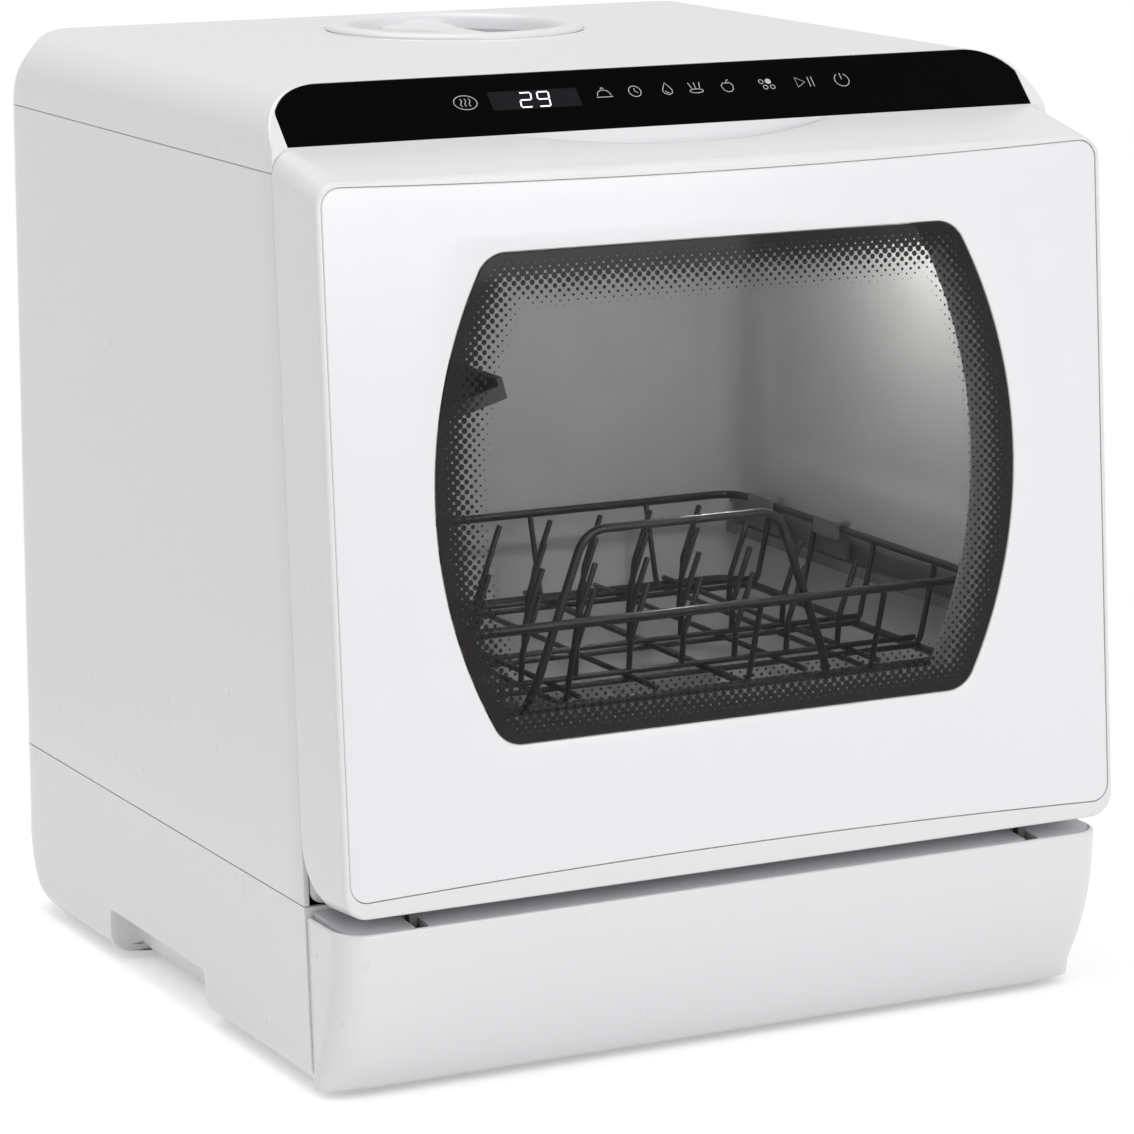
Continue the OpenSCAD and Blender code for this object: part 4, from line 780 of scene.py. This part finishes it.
def makePlate():
    e, t = plate["edge"], plate["thick"]
    turn = np.radians(np.linspace(0, 90, 5))
    rows = [onDoor(plateRing(), t)]
    rows += [onDoor(plateRing(-e * (1 - math.cos(a))), e * (1 - math.sin(a))) for a in turn]
    outer, inner = plateRing(-e), windowRing(0.3 + e)
    rows += [onDoor(outer + (inner - outer) * u, 0) for u in (0.25, 0.5, 0.75)]
    rows += [onDoor(windowRing(0.3 + e * (1 - math.sin(a))), e * (1 - math.cos(a))) for a in turn]
    rows += [onDoor(windowRing(0.3), t)]
    return makePiece("frontPlate", [(np.stack(rows), True, True)], "whiteDoor", "door", ["front_plate"], sharp=40)


# Panes: rings step inward from the window's outline; rim keeps how far in each ring lies, and
# every ring behind the front face carries the plain middle's value, so only the front is printed.
def makePane(name, near, far, grow, finish, stands, lip=None):
    plain = 114.0
    heart = windowRing(0) * 0 + [0, window["middle"]]
    edge = [(windowRing(grow), far, plain)]
    if lip is not None:
        edge += [(windowRing(grow), lip, plain), (windowRing(0), lip, plain), (windowRing(0), near + 0.6, plain)]
    start = 0 if lip is not None else grow
    edge.append((windowRing(start), near + 0.5, 0.0))
    steps = np.concatenate([0.5 * (1 - np.cos(np.radians([30, 60, 90]))), np.linspace(2, 15.9, 8)])
    inward = [(windowRing(start - step), near + max(0.5 - step, 0), step) for step in steps]
    inmost = windowRing(start - 15.9)
    outward = windowRing(start - 15.0) - inmost
    across = np.einsum("ij,ij->i", inmost - heart, outward) / np.linalg.norm(outward, axis=1)
    middle = [(inmost + (heart - inmost) * u, near, 15.9 + u * across) for u in np.linspace(0, 1, 9)[1:]]
    behind = [(heart, far, plain), (heart + (inmost - heart) * 0.5, far, plain)]
    rows = edge + inward + middle + behind
    grid = np.stack([onDoor(ring, depth) for ring, depth, value in rows])
    field = np.concatenate([value + 0 * grid[0, :, 0] for ring, depth, value in rows]) * mm
    return makePiece(name, [(grid, True, True)], finish, "door", [stands], sharp=30, fields={"rim": field})


makeDoorShell()
makePlate()
makePane("outerPane", 0.0, 5.5, window["lap"], "tintedPane", "outer_pane", lip=2.6)
makePane("innerPane", 35.6, 38.6, window["lap"], "clearPane", "inner_pane")
print("door: shell, plate and panes")


# Control strip: x runs across, v up the slope and n out of it. Each row up the slope is a loop,
# along the front from end to end and back behind it; both ends follow the cover's shoulder.
strip = {"half": 201.0, "foot": 0.4, "head": 36.3, "proud": 0.3, "thick": 2.0, "edge": 0.35, "margin": 2.4, "gap": 0.25}


def onStrip(across, up, out):
    across, up, out = np.broadcast_arrays(across, up, out)
    s = math.sqrt(0.5)
    return np.stack([across, faceY(cover["stripFoot"]) + (up - out) * s, cover["stripFoot"] + (up + out) * s], -1)


def stripSheet(grow, low, high, edge):
    k = strip
    bottom, top = k["foot"] - grow, k["head"] + grow
    rise = np.array([0, 0.3 * edge, edge])
    fall = np.array([edge, 0.3 * edge, 0])
    v = np.concatenate([bottom + rise, np.linspace(bottom + 1, top - 9, 14), np.linspace(top - 8, top - 1, 15), top - rise[::-1]])
    drop = np.concatenate([fall, np.zeros(29), fall[::-1]])
    end = np.minimum(k["half"], reachAt(cover["stripFoot"] + v * math.sqrt(0.5)) - k["margin"]) + grow
    inset = np.concatenate([rise, [0.6], np.zeros(60), [0.6], rise[::-1]])
    share = np.concatenate([-np.ones(4), np.linspace(-0.97, 0.97, 60), np.ones(4)])
    sink = np.concatenate([fall, np.zeros(62), fall[::-1]])
    x = share * end[:, None] - np.sign(share) * inset * (np.abs(share) == 1)
    face = onStrip(x, v[:, None], high - np.maximum(drop[:, None], sink))
    rear = onStrip(x[:, ::-1], v[:, None], low)
    rows = np.concatenate([face, rear], 1)
    middle = (face + rear[:, ::-1]) / 2
    closed = np.concatenate([middle, middle[:, ::-1]], 1)
    return np.concatenate([closed[:1], rows, closed[-1:]]), False, True


cutOut(topCover, [stripSheet(strip["gap"], -2.4, 6.0, 0.3)])
makePiece("controlFascia", [stripSheet(0, -strip["thick"], strip["proud"], strip["edge"])], "blackStrip",
          "cabinet", ["control_fascia"], sharp=50)


# Wires: a path with rounded corners, and a round tube carried along it without twisting.
def roundPath(corners, radius, closed=False, steps=7):
    corners = np.asarray(corners, float)
    count = len(corners)
    path = [] if closed else [corners[:1]]
    for index in (range(count) if closed else range(1, count - 1)):
        here = corners[index]
        before, after = corners[index - 1] - here, corners[(index + 1) % count] - here
        a, b = np.linalg.norm(before), np.linalg.norm(after)
        before, after = before / a, after / b
        half = math.acos(max(-1, min(1, float(before @ after)))) / 2
        reach = min(radius / math.tan(half), 0.49 * a, 0.49 * b)
        t = np.linspace(0, 1, steps)[:, None]
        bend = here + before * reach * (1 - t) ** 2 + after * reach * t ** 2
        path.append(bend)
    if not closed:
        path.append(corners[-1:])
    return np.concatenate(path)


def tubeSheet(path, radius, sides=14, closed=False):
    path = np.asarray(path, float)
    ahead = np.roll(path, -1, 0) - path
    behind = path - np.roll(path, 1, 0)
    if not closed:
        ahead[-1], behind[0] = behind[-1], ahead[0]
    along = ahead / np.linalg.norm(ahead, axis=1)[:, None] + behind / np.linalg.norm(behind, axis=1)[:, None]
    along /= np.linalg.norm(along, axis=1)[:, None]
    side = np.cross(along[0], [0.31, 0.17, 0.93])
    frames = []
    for direction in along:
        side = side - direction * (side @ direction)
        side = side / np.linalg.norm(side)
        frames.append(side)
    side = np.array(frames)
    if closed:
        # The last frame is turned back to meet the first, a little at each point.
        over = np.cross(along[0], side[0])
        carried = side[-1] - along[0] * (side[-1] @ along[0])
        miss = math.atan2(float(carried @ over), float(carried @ side[0]))
        share = -miss * np.arange(len(path))[:, None] / (len(path) - 1)
        side = side * np.cos(share) + np.cross(along, side) * np.sin(share)
    third = np.cross(along, side)
    turn = np.linspace(0, 2 * np.pi, sides, endpoint=False)[None, :, None]
    rings = path[:, None] + radius * (np.cos(turn) * side[:, None] + np.sin(turn) * third[:, None])
    if not closed:
        caps = []
        for tip, direction, ring in ((path[0], -along[0], rings[0]), (path[-1], along[-1], rings[-1])):
            grown = [tip + (ring - tip) * math.cos(a) + direction * radius * 0.6 * math.sin(a) for a in (0.5, 1.0, 1.5708)]
            caps.append(np.stack(grown))
        rings = np.concatenate([caps[0][::-1], rings, caps[1]])
    return rings, closed, True


rack = {"half": 179.0, "floorHalf": 170.0, "front": -133.0, "back": 118.0, "floorFront": -120.0, "floorBack": 105.0,
        "top": 204.0, "floor": 160.0, "thick": 2.2, "thin": 1.5, "bend": 16.0, "post": (-123, -50, 52, 123),
        "cross": (-90, -30, 30, 78)}


def rackRing(half, y0, y1, z):
    return roundPath([(half, y0, z), (half, y1, z), (-half, y1, z), (-half, y0, z)], rack["bend"], True, 13)


def makeRack():
    k = rack
    sheets = [tubeSheet(rackRing(k["half"], k["front"], k["back"], k["top"]), k["thick"], 18, True),
              tubeSheet(rackRing(k["floorHalf"], k["floorFront"], k["floorBack"], k["floor"]), k["thick"], 18, True)]
    for x in k["post"]:
        route = [(x, k["front"], k["top"]), (x, k["floorFront"], k["floor"]), (x, k["floorBack"], k["floor"]),
                 (x, k["back"], k["top"])]
        sheets.append(tubeSheet(roundPath(route, 7), k["thin"]))
    for y in k["cross"]:
        z = k["floor"] + 1.3
        route = [(k["half"], y, k["top"]), (k["floorHalf"], y, z), (-k["floorHalf"], y, z), (-k["half"], y, k["top"])]
        sheets.append(tubeSheet(roundPath(route, 7), k["thin"]))
    return makePiece("rackFrame", sheets, "coatedWire", "rack", ["rack_frame"], sharp=60)


tines = {"rows": (-92, -36, 20, 72), "long": 44.0, "upright": 16.0, "lean": 14.0, "step": 30, "grid": 163.8, "cross": 166.2}


def makeTines():
    k, t = rack, tines
    sheets = []
    for i in range(1, 8):
        x = -k["floorHalf"] + i * k["floorHalf"] / 4
        sheets.append(tubeSheet([(x, k["floorFront"], t["grid"]), (x, k["floorBack"], t["grid"])], k["thin"]))
    lean_ = math.radians(t["lean"])
    for y in t["rows"]:
        sheets.append(tubeSheet([(4 - k["floorHalf"], y, t["cross"]), (k["floorHalf"] - 4, y, t["cross"])], k["thin"]))
        for x in range(-120, 121, t["step"]):
            tip = (x + t["long"] * math.sin(lean_), y, t["cross"] + t["long"] * math.cos(lean_))
            knee = (x + 1.0, y, t["cross"] + t["upright"])
            sheets.append(tubeSheet(roundPath([(x, y, t["cross"]), knee, tip], 14), k["thin"]))
    return makePiece("rackTines", sheets, "coatedWire", "rack", ["rack_tines"], sharp=60)


# Arch at the front of the rack: one thick wire, bent at its feet and at its two shoulders.
arch = {"middle": 10.0, "half": 53.5, "foot": 85.0, "top": 248.0, "y": -128.3, "footY": -124.5, "bend": 17.0}


def makeArch():
    a = arch
    lift = 16 / (a["top"] - rack["floor"])
    x1 = a["foot"] - (a["foot"] - a["half"]) * lift
    half = [(a["foot"], a["footY"], rack["floor"]), (x1, a["y"], rack["floor"] + 16), (a["half"], a["y"], a["top"])]
    route = [(a["middle"] - x, y, z) for x, y, z in half] + [(a["middle"] + x, y, z) for x, y, z in half[::-1]]
    return makePiece("rackArch", [tubeSheet(roundPath(route, a["bend"], steps=12), rack["thick"], 18)], "coatedWire",
                     "rack", ["rack_arch"], sharp=60)


# Bracket of the cup shelf: two legs and the bar between them, bent from one wire.
bracket = {"front": -113.0, "back": 45.0, "foot": 206.9, "x": -172.0, "z": 286.0, "bend": 3.4}


def makeBracket():
    b, x0 = bracket, -rack["half"]
    route = [(x0, b["front"], b["foot"]), (b["x"], b["front"], b["z"]), (b["x"], b["back"], b["z"]), (x0, b["back"], b["foot"])]
    return makePiece("shelfBracket", [tubeSheet(roundPath(route, b["bend"]), rack["thick"], 18)], "coatedWire",
                     "rack", ["shelf_bracket"], sharp=60)


makeRack()
makeTines()
makeArch()
makeBracket()
print("rack: frame, tines, arch and bracket")

# Tub: rings from the flange round the mouth, over a rolled lip, back along the walls and over
# a rounded corner to the middle of the back wall; soft panels are pressed outwards.
tub = {"half": 188.0, "floor": 110.0, "ceiling": 408.0, "sill": 123.0, "back": 140.0, "corner": 18.0, "backRound": 15.0,
       "wall": 2.5, "lip": 2.0, "flange": 206.4, "flangeLow": 92.0, "flangeHigh": 429.4, "press": 1.6}


def pressPatch(value, low, high, soft):
    return easeIn(value, low, low + soft) * (1 - easeIn(value, high - soft, high))


def makeTub():
    t = tub
    rows = []
    flange = boxRing(t["flange"], t["flangeLow"], t["flangeHigh"], 6)
    mouth = boxRing(t["half"], t["sill"], t["ceiling"], t["corner"])
    lipRing = boxRing(t["half"] + t["lip"], t["sill"] - t["lip"], t["ceiling"] + t["lip"], t["corner"] + t["lip"])
    for ring in (flange, flange + (lipRing - flange) * 0.5, lipRing):
        rows.append(np.column_stack([ring[:, 0], faceY(ring[:, 1]), ring[:, 1]]))
    for a in np.radians([30, 60, 90]):
        ring = lipRing + (mouth - lipRing) * math.sin(a)
        rows.append(np.column_stack([ring[:, 0], faceY(ring[:, 1]) + t["lip"] * (1 - math.cos(a)), ring[:, 1]]))
    rows.append(np.column_stack([mouth[:, 0], faceY(mouth[:, 1]) + 3.2, mouth[:, 1]]))
    inside = boxRing(t["half"], t["floor"], t["ceiling"], t["corner"])
    steps = np.linspace(0, 1, 6)[1:]
    for u in steps:
        ring = mouth + (inside - mouth) * (u * u * (3 - 2 * u))
        rows.append(np.column_stack([ring[:, 0], faceY(mouth[:, 1]) + 3.2 + 9 * u, ring[:, 1]]))
    start = faceY(mouth[:, 1]) + 12.2
    stop = t["back"] - t["backRound"]
    for u in np.linspace(0, 1, 46)[1:]:
        y = start + (stop - start) * u
        ring = inside.copy()
        onSide = (np.abs(ring[:, 0]) > t["half"] - 1) * np.sign(ring[:, 0])
        onTop = (ring[:, 1] > t["ceiling"] - 1)
        panel = pressPatch(y, -110, 104, 12) * pressPatch(ring[:, 1], 226, 372, 12)
        groove = pressPatch(y, -118, 112, 10) * pressPatch(ring[:, 0], -150, 150, 12)
        ring = ring + np.column_stack([onSide * panel * t["press"], onTop * groove * t["press"]])
        rows.append(np.column_stack([ring[:, 0], y, ring[:, 1]]))
    for a in np.radians(np.linspace(0, 90, 9))[1:]:
        r = t["backRound"] * (1 - math.cos(a))
        ring = boxRing(t["half"] - r, t["floor"] + r, t["ceiling"] - r, max(t["corner"] - r, 3))
        rows.append(np.column_stack([ring[:, 0], np.full(len(ring), stop + t["backRound"] * math.sin(a)), ring[:, 1]]))
    edge = boxRing(t["half"] - t["backRound"], t["floor"] + t["backRound"], t["ceiling"] - t["backRound"], 3)
    heart = np.array([0, (t["floor"] + t["ceiling"]) / 2])
    for u in np.linspace(0, 1, 26)[1:]:
        ring = edge + (heart - edge) * u
        radial = np.maximum(np.abs(ring[:, 0]) / 150, np.abs(ring[:, 1] - heart[1]) / 120)
        sunk = (1 - easeIn(radial, 0.80, 0.92)) - (1 - easeIn(radial, 0.50, 0.58)) * 0.6
        rows.append(np.column_stack([ring[:, 0], t["back"] - 1.5 * t["press"] * (1 - sunk) + 0 * ring[:, 0], ring[:, 1]]))
    piece = makePiece("tubLiner", [(np.stack(rows), False, True)], "greyTub", "cabinet", ["tub"], sharp=50,
                      wall=-t["wall"])
    with bpy.context.temp_override(object=piece, active_object=piece):
        bpy.ops.object.modifier_apply(modifier="wall")
    cutOut(piece, [barSheet((0, -35), 60, 96, 124, 128)])
    cutOut(piece, [barSheet((0, 0), 7.5, 396, 424, 48)])
    return piece


makeTub()

# Seal: a soft round-backed profile with a groove, carried round the mouth of the tub.
seal = {"inner": 1.0, "outer": 7.0, "front": 41.8, "back": 46.75, "low": 127.06, "high": 412.94, "groove": 0.9}


def mouthRing(grow):
    return boxRing(tub["half"] + grow, seal["low"] - grow, seal["high"] + grow, tub["corner"] + grow)


def makeSeal():
    middle, half = (seal["inner"] + seal["outer"]) / 2, (seal["outer"] - seal["inner"]) / 2
    rows = []
    for a in np.linspace(0, 360, 25)[:-1]:
        c, s = math.cos(math.radians(a)), math.sin(math.radians(a))
        grow = middle + half * np.sign(c) * abs(c) ** 0.7
        dent = seal["groove"] * max(0, -s) ** 8
        depth = (seal["front"] + seal["back"]) / 2 + (seal["back"] - seal["front"]) / 2 * np.sign(s) * abs(s) ** 0.6 + dent
        rows.append(onDoor(mouthRing(grow), depth))
    return makePiece("tubSeal", [(np.stack(rows), True, True)], "softSeal", "cabinet", ["tub_seal"], sharp=50)


makeSeal()

# Door liner: a pressed tray with a raised rim that enters the tub, and the dispenser's hole.
liner = {"half": 207.1, "low": 103.3, "high": 429.1, "corner": 9.0, "front": 38.8, "back": 41.3, "rim": 49.0, "rimIn": 3.0,
         "rimOut": 6.0, "soft": 1.3, "cell": (-104.0, -20.0, 132.06, 158.06), "press": 1.4}


def makeLiner():
    k, f = liner, liner["soft"]
    edge = lambda grow: boxRing(k["half"] + grow, k["low"] - grow, k["high"] + grow, k["corner"] + grow)
    rows = [onDoor(windowRing(0), k["front"]), onDoor(edge(-8), k["front"]), onDoor(edge(0), k["front"]),
            onDoor(edge(0), k["back"] - 0.6), onDoor(edge(-0.6), k["back"])]
    outer = [(-k["rimIn"] + f, k["back"]), (-k["rimIn"] + 0.3 * f, k["back"] + 0.3 * f), (-k["rimIn"], k["back"] + f),
             (-k["rimIn"], k["rim"] - f), (-k["rimIn"] - 0.3 * f, k["rim"] - 0.3 * f), (-k["rimIn"] - f, k["rim"])]
    inner = [(-k["rimOut"] + f, k["rim"]), (-k["rimOut"] + 0.3 * f, k["rim"] - 0.3 * f), (-k["rimOut"], k["rim"] - f),
             (-k["rimOut"], k["back"] + f), (-k["rimOut"] - 0.3 * f, k["back"] + 0.3 * f), (-k["rimOut"] - f, k["back"])]
    rows += [onDoor(mouthRing(grow), depth) for grow, depth in outer + inner]
    near, far = mouthRing(-k["rimOut"] - f), windowRing(5)
    for u in (0.2, 0.32, 0.44, 0.56, 0.7, 0.85):
        rows.append(onDoor(near + (far - near) * u, k["back"] - k["press"] * pressPatch(u, 0.1, 0.9, 0.3)))
    rows += [onDoor(far, k["back"]), onDoor(windowRing(2.5), k["back"] - 0.3), onDoor(windowRing(0.8), k["back"] - 1.0),
             onDoor(windowRing(0), k["back"] - 2.0)]
    piece = makePiece("doorLiner", [(np.stack(rows), True, True)], "whiteShell", "door", ["door_liner"], sharp=50)
    x0, x1, h0, h1 = k["cell"]
    ring = np.array([[x0, h0], [x1, h0], [x1, h1], [x0, h1]])
    heart = ring.mean(0) + 0 * ring
    cutOut(piece, [(np.stack([onDoor(r, d) for r, d in ((heart, 34), (ring, 34), (ring, 46), (heart, 46))]), False, True)])
    return piece


makeLiner()
print("wet side: tub, seal and liner")

# Fill cap: a profile is turned about the cap's middle; the grip bar narrows at its waist.
cap = {"middle": 101.0, "base": 468.3, "deep": 17.2, "barHalf": 20.0, "waist": 10.0, "curve": 69.0,
       "seat": 68.6, "seatHalf": 1.1, "seatRise": 0.7}
capProfile = [(0, -17.2), (20, -17.2), (40, -17.1), (48, -16.7), (51, -15.6), (52.8, -13.4), (53.6, -10), (54.3, -4),
              (54.9, -0.6), (55.6, 1.2), (56.8, 2.5), (58.4, 3.2), (60.5, 3.4), (63.4, 3.3), (65.2, 2.8), (66.4, 1.9),
              (66.95, 0.9), (66.8, 0.25), (66.3, 0.0), (60.2, 0.0), (59.6, -1.0), (58.4, -14), (54.5, -19.6), (30, -19.7),
              (0, -19.7)]


def makeCap():
    k = cap
    turn = np.linspace(0, 2 * np.pi, 144, endpoint=False)
    profile = np.array(capProfile)[:, :, None]
    lathe = np.stack([profile[:, 0] * np.cos(turn), k["middle"] + profile[:, 0] * np.sin(turn),
                      k["base"] + profile[:, 1] + 0 * turn], -1)
    y = np.linspace(-54.6, 54.6, 60)
    broad = np.minimum(k["waist"] + k["curve"] - np.sqrt(k["curve"] ** 2 - y ** 2), k["barHalf"])
    crest = -0.4 - 1.6 * (np.abs(y) / 54.6) ** 3
    section = [(1.18, -17.4), (1.06, -14.5), (1.0, -8), (0.97, -4), (0.90, -1.6), (0.78, -0.5), (0.6, 0.0), (0.3, 0.15)]
    section = section + [(0, 0.2)] + [(-x, z) for x, z in section[::-1]]
    bar = np.stack([np.stack([x * broad, k["middle"] + y, k["base"] + (crest + z if z > -14 else z + 0 * y)], -1)
                    for x, z in section], 1)
    ends = [bar[:1].mean(1, keepdims=True) + 0 * bar[:1], bar[-1:].mean(1, keepdims=True) + 0 * bar[-1:]]
    bar = np.concatenate([ends[0], bar, ends[1]])
    makePiece("fillCap", [(lathe, False, True), (bar, False, True)], "whiteShell", "fill_cap", ["fill_cap"],
              sharp=45)
    # A darker grey sheet laid just over the floor and wall of the cap's bowl: painted shade of the deep bowl, not a
    # separate grey part.
    bowlShadeProfile = np.array([(0, -17.05), (20, -17.05), (40, -16.95), (47.9, -16.5), (50.8, -15.45), (52.6, -13.3), (53.4, -10),
                       (54.0, -5), (54.1, -5), (53.7, -10), (52.9, -13.4), (51, -15.6), (48, -16.7), (40, -17.1),
                       (20, -17.15), (0, -17.15)])[:, :, None]
    bowlShadeSheet = np.stack([bowlShadeProfile[:, 0] * np.cos(turn), k["middle"] + bowlShadeProfile[:, 0] * np.sin(turn),
                     k["base"] + bowlShadeProfile[:, 1] + 0 * turn], -1)
    makePiece("capBowlShade", [(bowlShadeSheet, False, True)], "paintedBowlShade", "fill_cap", sharp=45)
    bead = np.linspace(0, 2 * np.pi, 13)[:-1, None]
    out, up = k["seat"] + k["seatHalf"] * np.cos(bead), 468.0 + k["seatRise"] * np.sin(bead)
    seat = np.stack([out * np.cos(turn), k["middle"] + out * np.sin(turn), up + 0 * turn], -1)
    makePiece("capSeat", [(seat, True, True)], "whiteDoor", "cabinet", sharp=60)


makeCap()


# Marks on the strip: flat strokes with a little thickness, laid just above its face.
def strokeSheet(points, width, closed=False):
    points = np.asarray(points, float)
    ahead, behind = np.roll(points, -1, 0) - points, points - np.roll(points, 1, 0)
    if not closed:
        ahead[-1], behind[0] = behind[-1], ahead[0]
    along = ahead / np.linalg.norm(ahead, axis=1)[:, None] + behind / np.linalg.norm(behind, axis=1)[:, None]
    along /= np.linalg.norm(along, axis=1)[:, None]
    across = np.column_stack([-along[:, 1], along[:, 0]]) * width / 2
    low, high = strip["proud"] - 0.05, strip["proud"] + 0.06
    sides = [(points + across, low), (points + across, high), (points - across, high), (points - across, low)]
    grid = np.stack([onStrip(plan[:, 0], plan[:, 1], level) for plan, level in sides], 1)
    if not closed:
        grid = np.concatenate([grid[:1].mean(1, keepdims=True) + 0 * grid[:1], grid,
                               grid[-1:].mean(1, keepdims=True) + 0 * grid[-1:]])
    return grid, closed, True


def loop(x, v, rx, ry=None, first=0, last=360, count=28):
    angle = np.radians(np.linspace(first, last, count))
    return np.column_stack([x + rx * np.cos(angle), v + (ry or rx) * np.sin(angle)])


def discSheet(x, v, r):
    ring = loop(x, v, r)[:-1]
    low, high = strip["proud"] - 0.05, strip["proud"] + 0.06
    heart = np.array([x, v]) + 0 * ring
    return (np.stack([onStrip(p[:, 0], p[:, 1], n) for p, n in ((heart, low), (ring, low), (ring, high), (heart, high))]),
            False, True)


# Each mark's place across the strip; all stand on the same line up the slope.
marks = {"line": 21.4, "stroke": 0.36, "warmAir": -104.0, "dish": -30.5, "clock": -13.6, "drop": 3.9, "jets": 19.4, "fruit": 36.9,
         "dots": 58.8, "start": 79.9, "power": 100.9}


def makeMarks():
    m, v, w = marks, marks["line"], marks["stroke"]
    closed = [loop(m["warmAir"], v - 1.2, 6.0, 4.2), loop(m["clock"], v, 3.2), loop(m["jets"], v - 1.8, 3.6, 1.2),
              loop(m["dots"] - 2.7, v + 1.6, 1.2), loop(m["dots"] - 1.3, v - 1.9, 1.2), loop(m["dots"] + 2.6, v - 1.9, 1.2)]
    x = m["drop"]
    closed.append(np.array([(x, v + 4.2), (x + 1.6, v + 1.6), (x + 2.6, v - 0.4), (x + 2.2, v - 2.2), (x, v - 3.2),
                            (x - 2.2, v - 2.2), (x - 2.6, v - 0.4), (x - 1.6, v + 1.6), (x, v + 4.2)]))
    x = m["fruit"]
    closed.append(np.array([(x, v + 1.8), (x + 1.8, v + 2.2), (x + 3.2, v + 0.4), (x + 2.6, v - 2.2), (x + 0.9, v - 3.4),
                            (x - 0.9, v - 3.4), (x - 2.6, v - 2.2), (x - 3.2, v + 0.4), (x - 1.8, v + 2.2), (x, v + 1.8)]))
    x = m["start"] - 2.4
    closed.append(np.array([(x - 2.2, v + 3.0), (x + 2.6, v), (x - 2.2, v - 3.0), (x - 2.2, v + 3.0)]))
    opened = [
        [(m["clock"], v + 1.9), (m["clock"], v), (m["clock"] + 1.5, v - 0.9)],
        [(m["fruit"], v + 1.8), (m["fruit"] + 0.5, v + 3.4), (m["fruit"] + 1.6, v + 4.0)],
        [(m["drop"] - 1.2, v - 0.8), (m["drop"] - 0.6, v - 1.8), (m["drop"] + 0.6, v - 2.1)],
        [(m["start"] + 2.4, v + 3.0), (m["start"] + 2.4, v - 3.0)], [(m["start"] + 4.5, v + 3.0), (m["start"] + 4.5, v - 3.0)],
        [(m["power"], v + 4.2), (m["power"], v + 0.4)], loop(m["power"], v, 3.9, None, 118, 422, 30),
        [(m["dish"] - 4.4, v - 2.4), (m["dish"] + 4.4, v - 2.4)], loop(m["dish"], v - 1.6, 3.6, 3.4, 0, 180, 16),
        loop(m["dish"], v + 2.4, 0.8, 0.8, 0, 180, 8)]
    rise = np.linspace(-1, 1, 11)
    for step in (-2.2, 0, 2.2):
        opened.append([(m["jets"] + step, v - 0.2), (m["jets"] + step * 1.4, v + 3.4)])
        opened.append(np.column_stack([m["warmAir"] + step + 0.55 * np.sin(math.pi * rise), v - 1.2 + 2.3 * rise]))
    sheets = [strokeSheet(line[:-1], w, True) for line in closed]
    sheets += [strokeSheet(line, w) for line in opened]
    sheets.append(discSheet(m["dots"] + 1.2, v + 1.6, 1.6))
    return makePiece("panelMarks", sheets, "iconInk", "cabinet", sharp=30)


# Digits: seven straight segments each, leaning a little, on a faint lit window.
digits = {"value": "29", "x": -76.0, "v": 15.6, "wide": 6.0, "tall": 8.6, "step": 9.4, "lean": 0.16, "stroke": 0.75, "gap": 0.35,
          "lit": {"2": "abged", "9": "abcdfg"}, "window": (-91.0, -44.0, 14.6, 25.6)}


def makeDigits():
    d = digits
    w, h = d["wide"], d["tall"]
    ends = {"a": ((0, h), (w, h)), "b": ((w, h), (w, h / 2)), "c": ((w, h / 2), (w, 0)), "d": ((0, 0), (w, 0)),
            "e": ((0, h / 2), (0, 0)), "f": ((0, h), (0, h / 2)), "g": ((0, h / 2), (w, h / 2))}
    sheets = []
    for index, figure in enumerate(d["value"]):
        for key in d["lit"][figure]:
            p, q = np.array(ends[key][0], float), np.array(ends[key][1], float)
            cut = (q - p) / np.linalg.norm(q - p) * d["gap"]
            line = np.array([p + cut, q - cut])
            line[:, 0] += d["x"] + index * d["step"] + d["lean"] * line[:, 1]
            line[:, 1] += d["v"]
            sheets.append(strokeSheet(line, d["stroke"]))
    return makePiece("panelDigits", sheets, "digitInk", "cabinet", sharp=30)


def makeWindow():
    x0, x1, v0, v1 = digits["window"]
    line = np.array([[x0, (v0 + v1) / 2], [x1, (v0 + v1) / 2]])
    grid, rows, columns = strokeSheet(line, v1 - v0)
    s = math.sqrt(0.5)
    return makePiece("displayWindow", [(grid + np.array([0, s, -s]) * 0.05, rows, columns)], "displayGlow",
                     "cabinet", sharp=30)


makeMarks()
makeDigits()
makeWindow()
print("top: fill cap, strip and marks")

# Solids whose own shape is right keep it, and take a finish here.
worn = {
    "whiteShell": ("back_panel", "inlet_port"), "greyLedge": ("hinge_ledge",), "blackFoot": ("rubber_feet",),
    "blackStrip": ("display_module",), "circuitLacquer": ("touch_board", "main_board"), "greyRail": ("rack_rails", "rack_glides"),
    "lampLens": ("tub_lamp",), "greyArm": ("lower_spray_arm", "upper_spray_arm", "arm_hub", "feed_pipe", "sump", "fill_funnel"),
    "filterSteel": ("filter_plate", "filter_cup"), "milkyTank": ("water_tank",), "orangeFloat": ("float_switch",),
    "blackPump": ("circulation_pump", "drain_pump", "drying_fan", "drain_port", "cord_gland", "latch_catch", "latch_hook"),
    "plainSteel": ("flow_heater", "casing_screws"), "darkSteel": ("hinge_bracket_left", "hinge_bracket_right", "hinge_pins"),
    "whiteDoor": ("dispenser_lid",), "greyTub": ("dispenser_body",), "greyShelf": ("cup_shelf",),
}
for finish, names in worn.items():
    for name in names:
        solid = nodes[name]
        if not solid.material_slots:
            solid.data.materials.append(finishes[finish])
        for place in solid.material_slots:
            place.material = finishes[finish]
print("solids: finished", sum(len(names) for names in worn.values()))
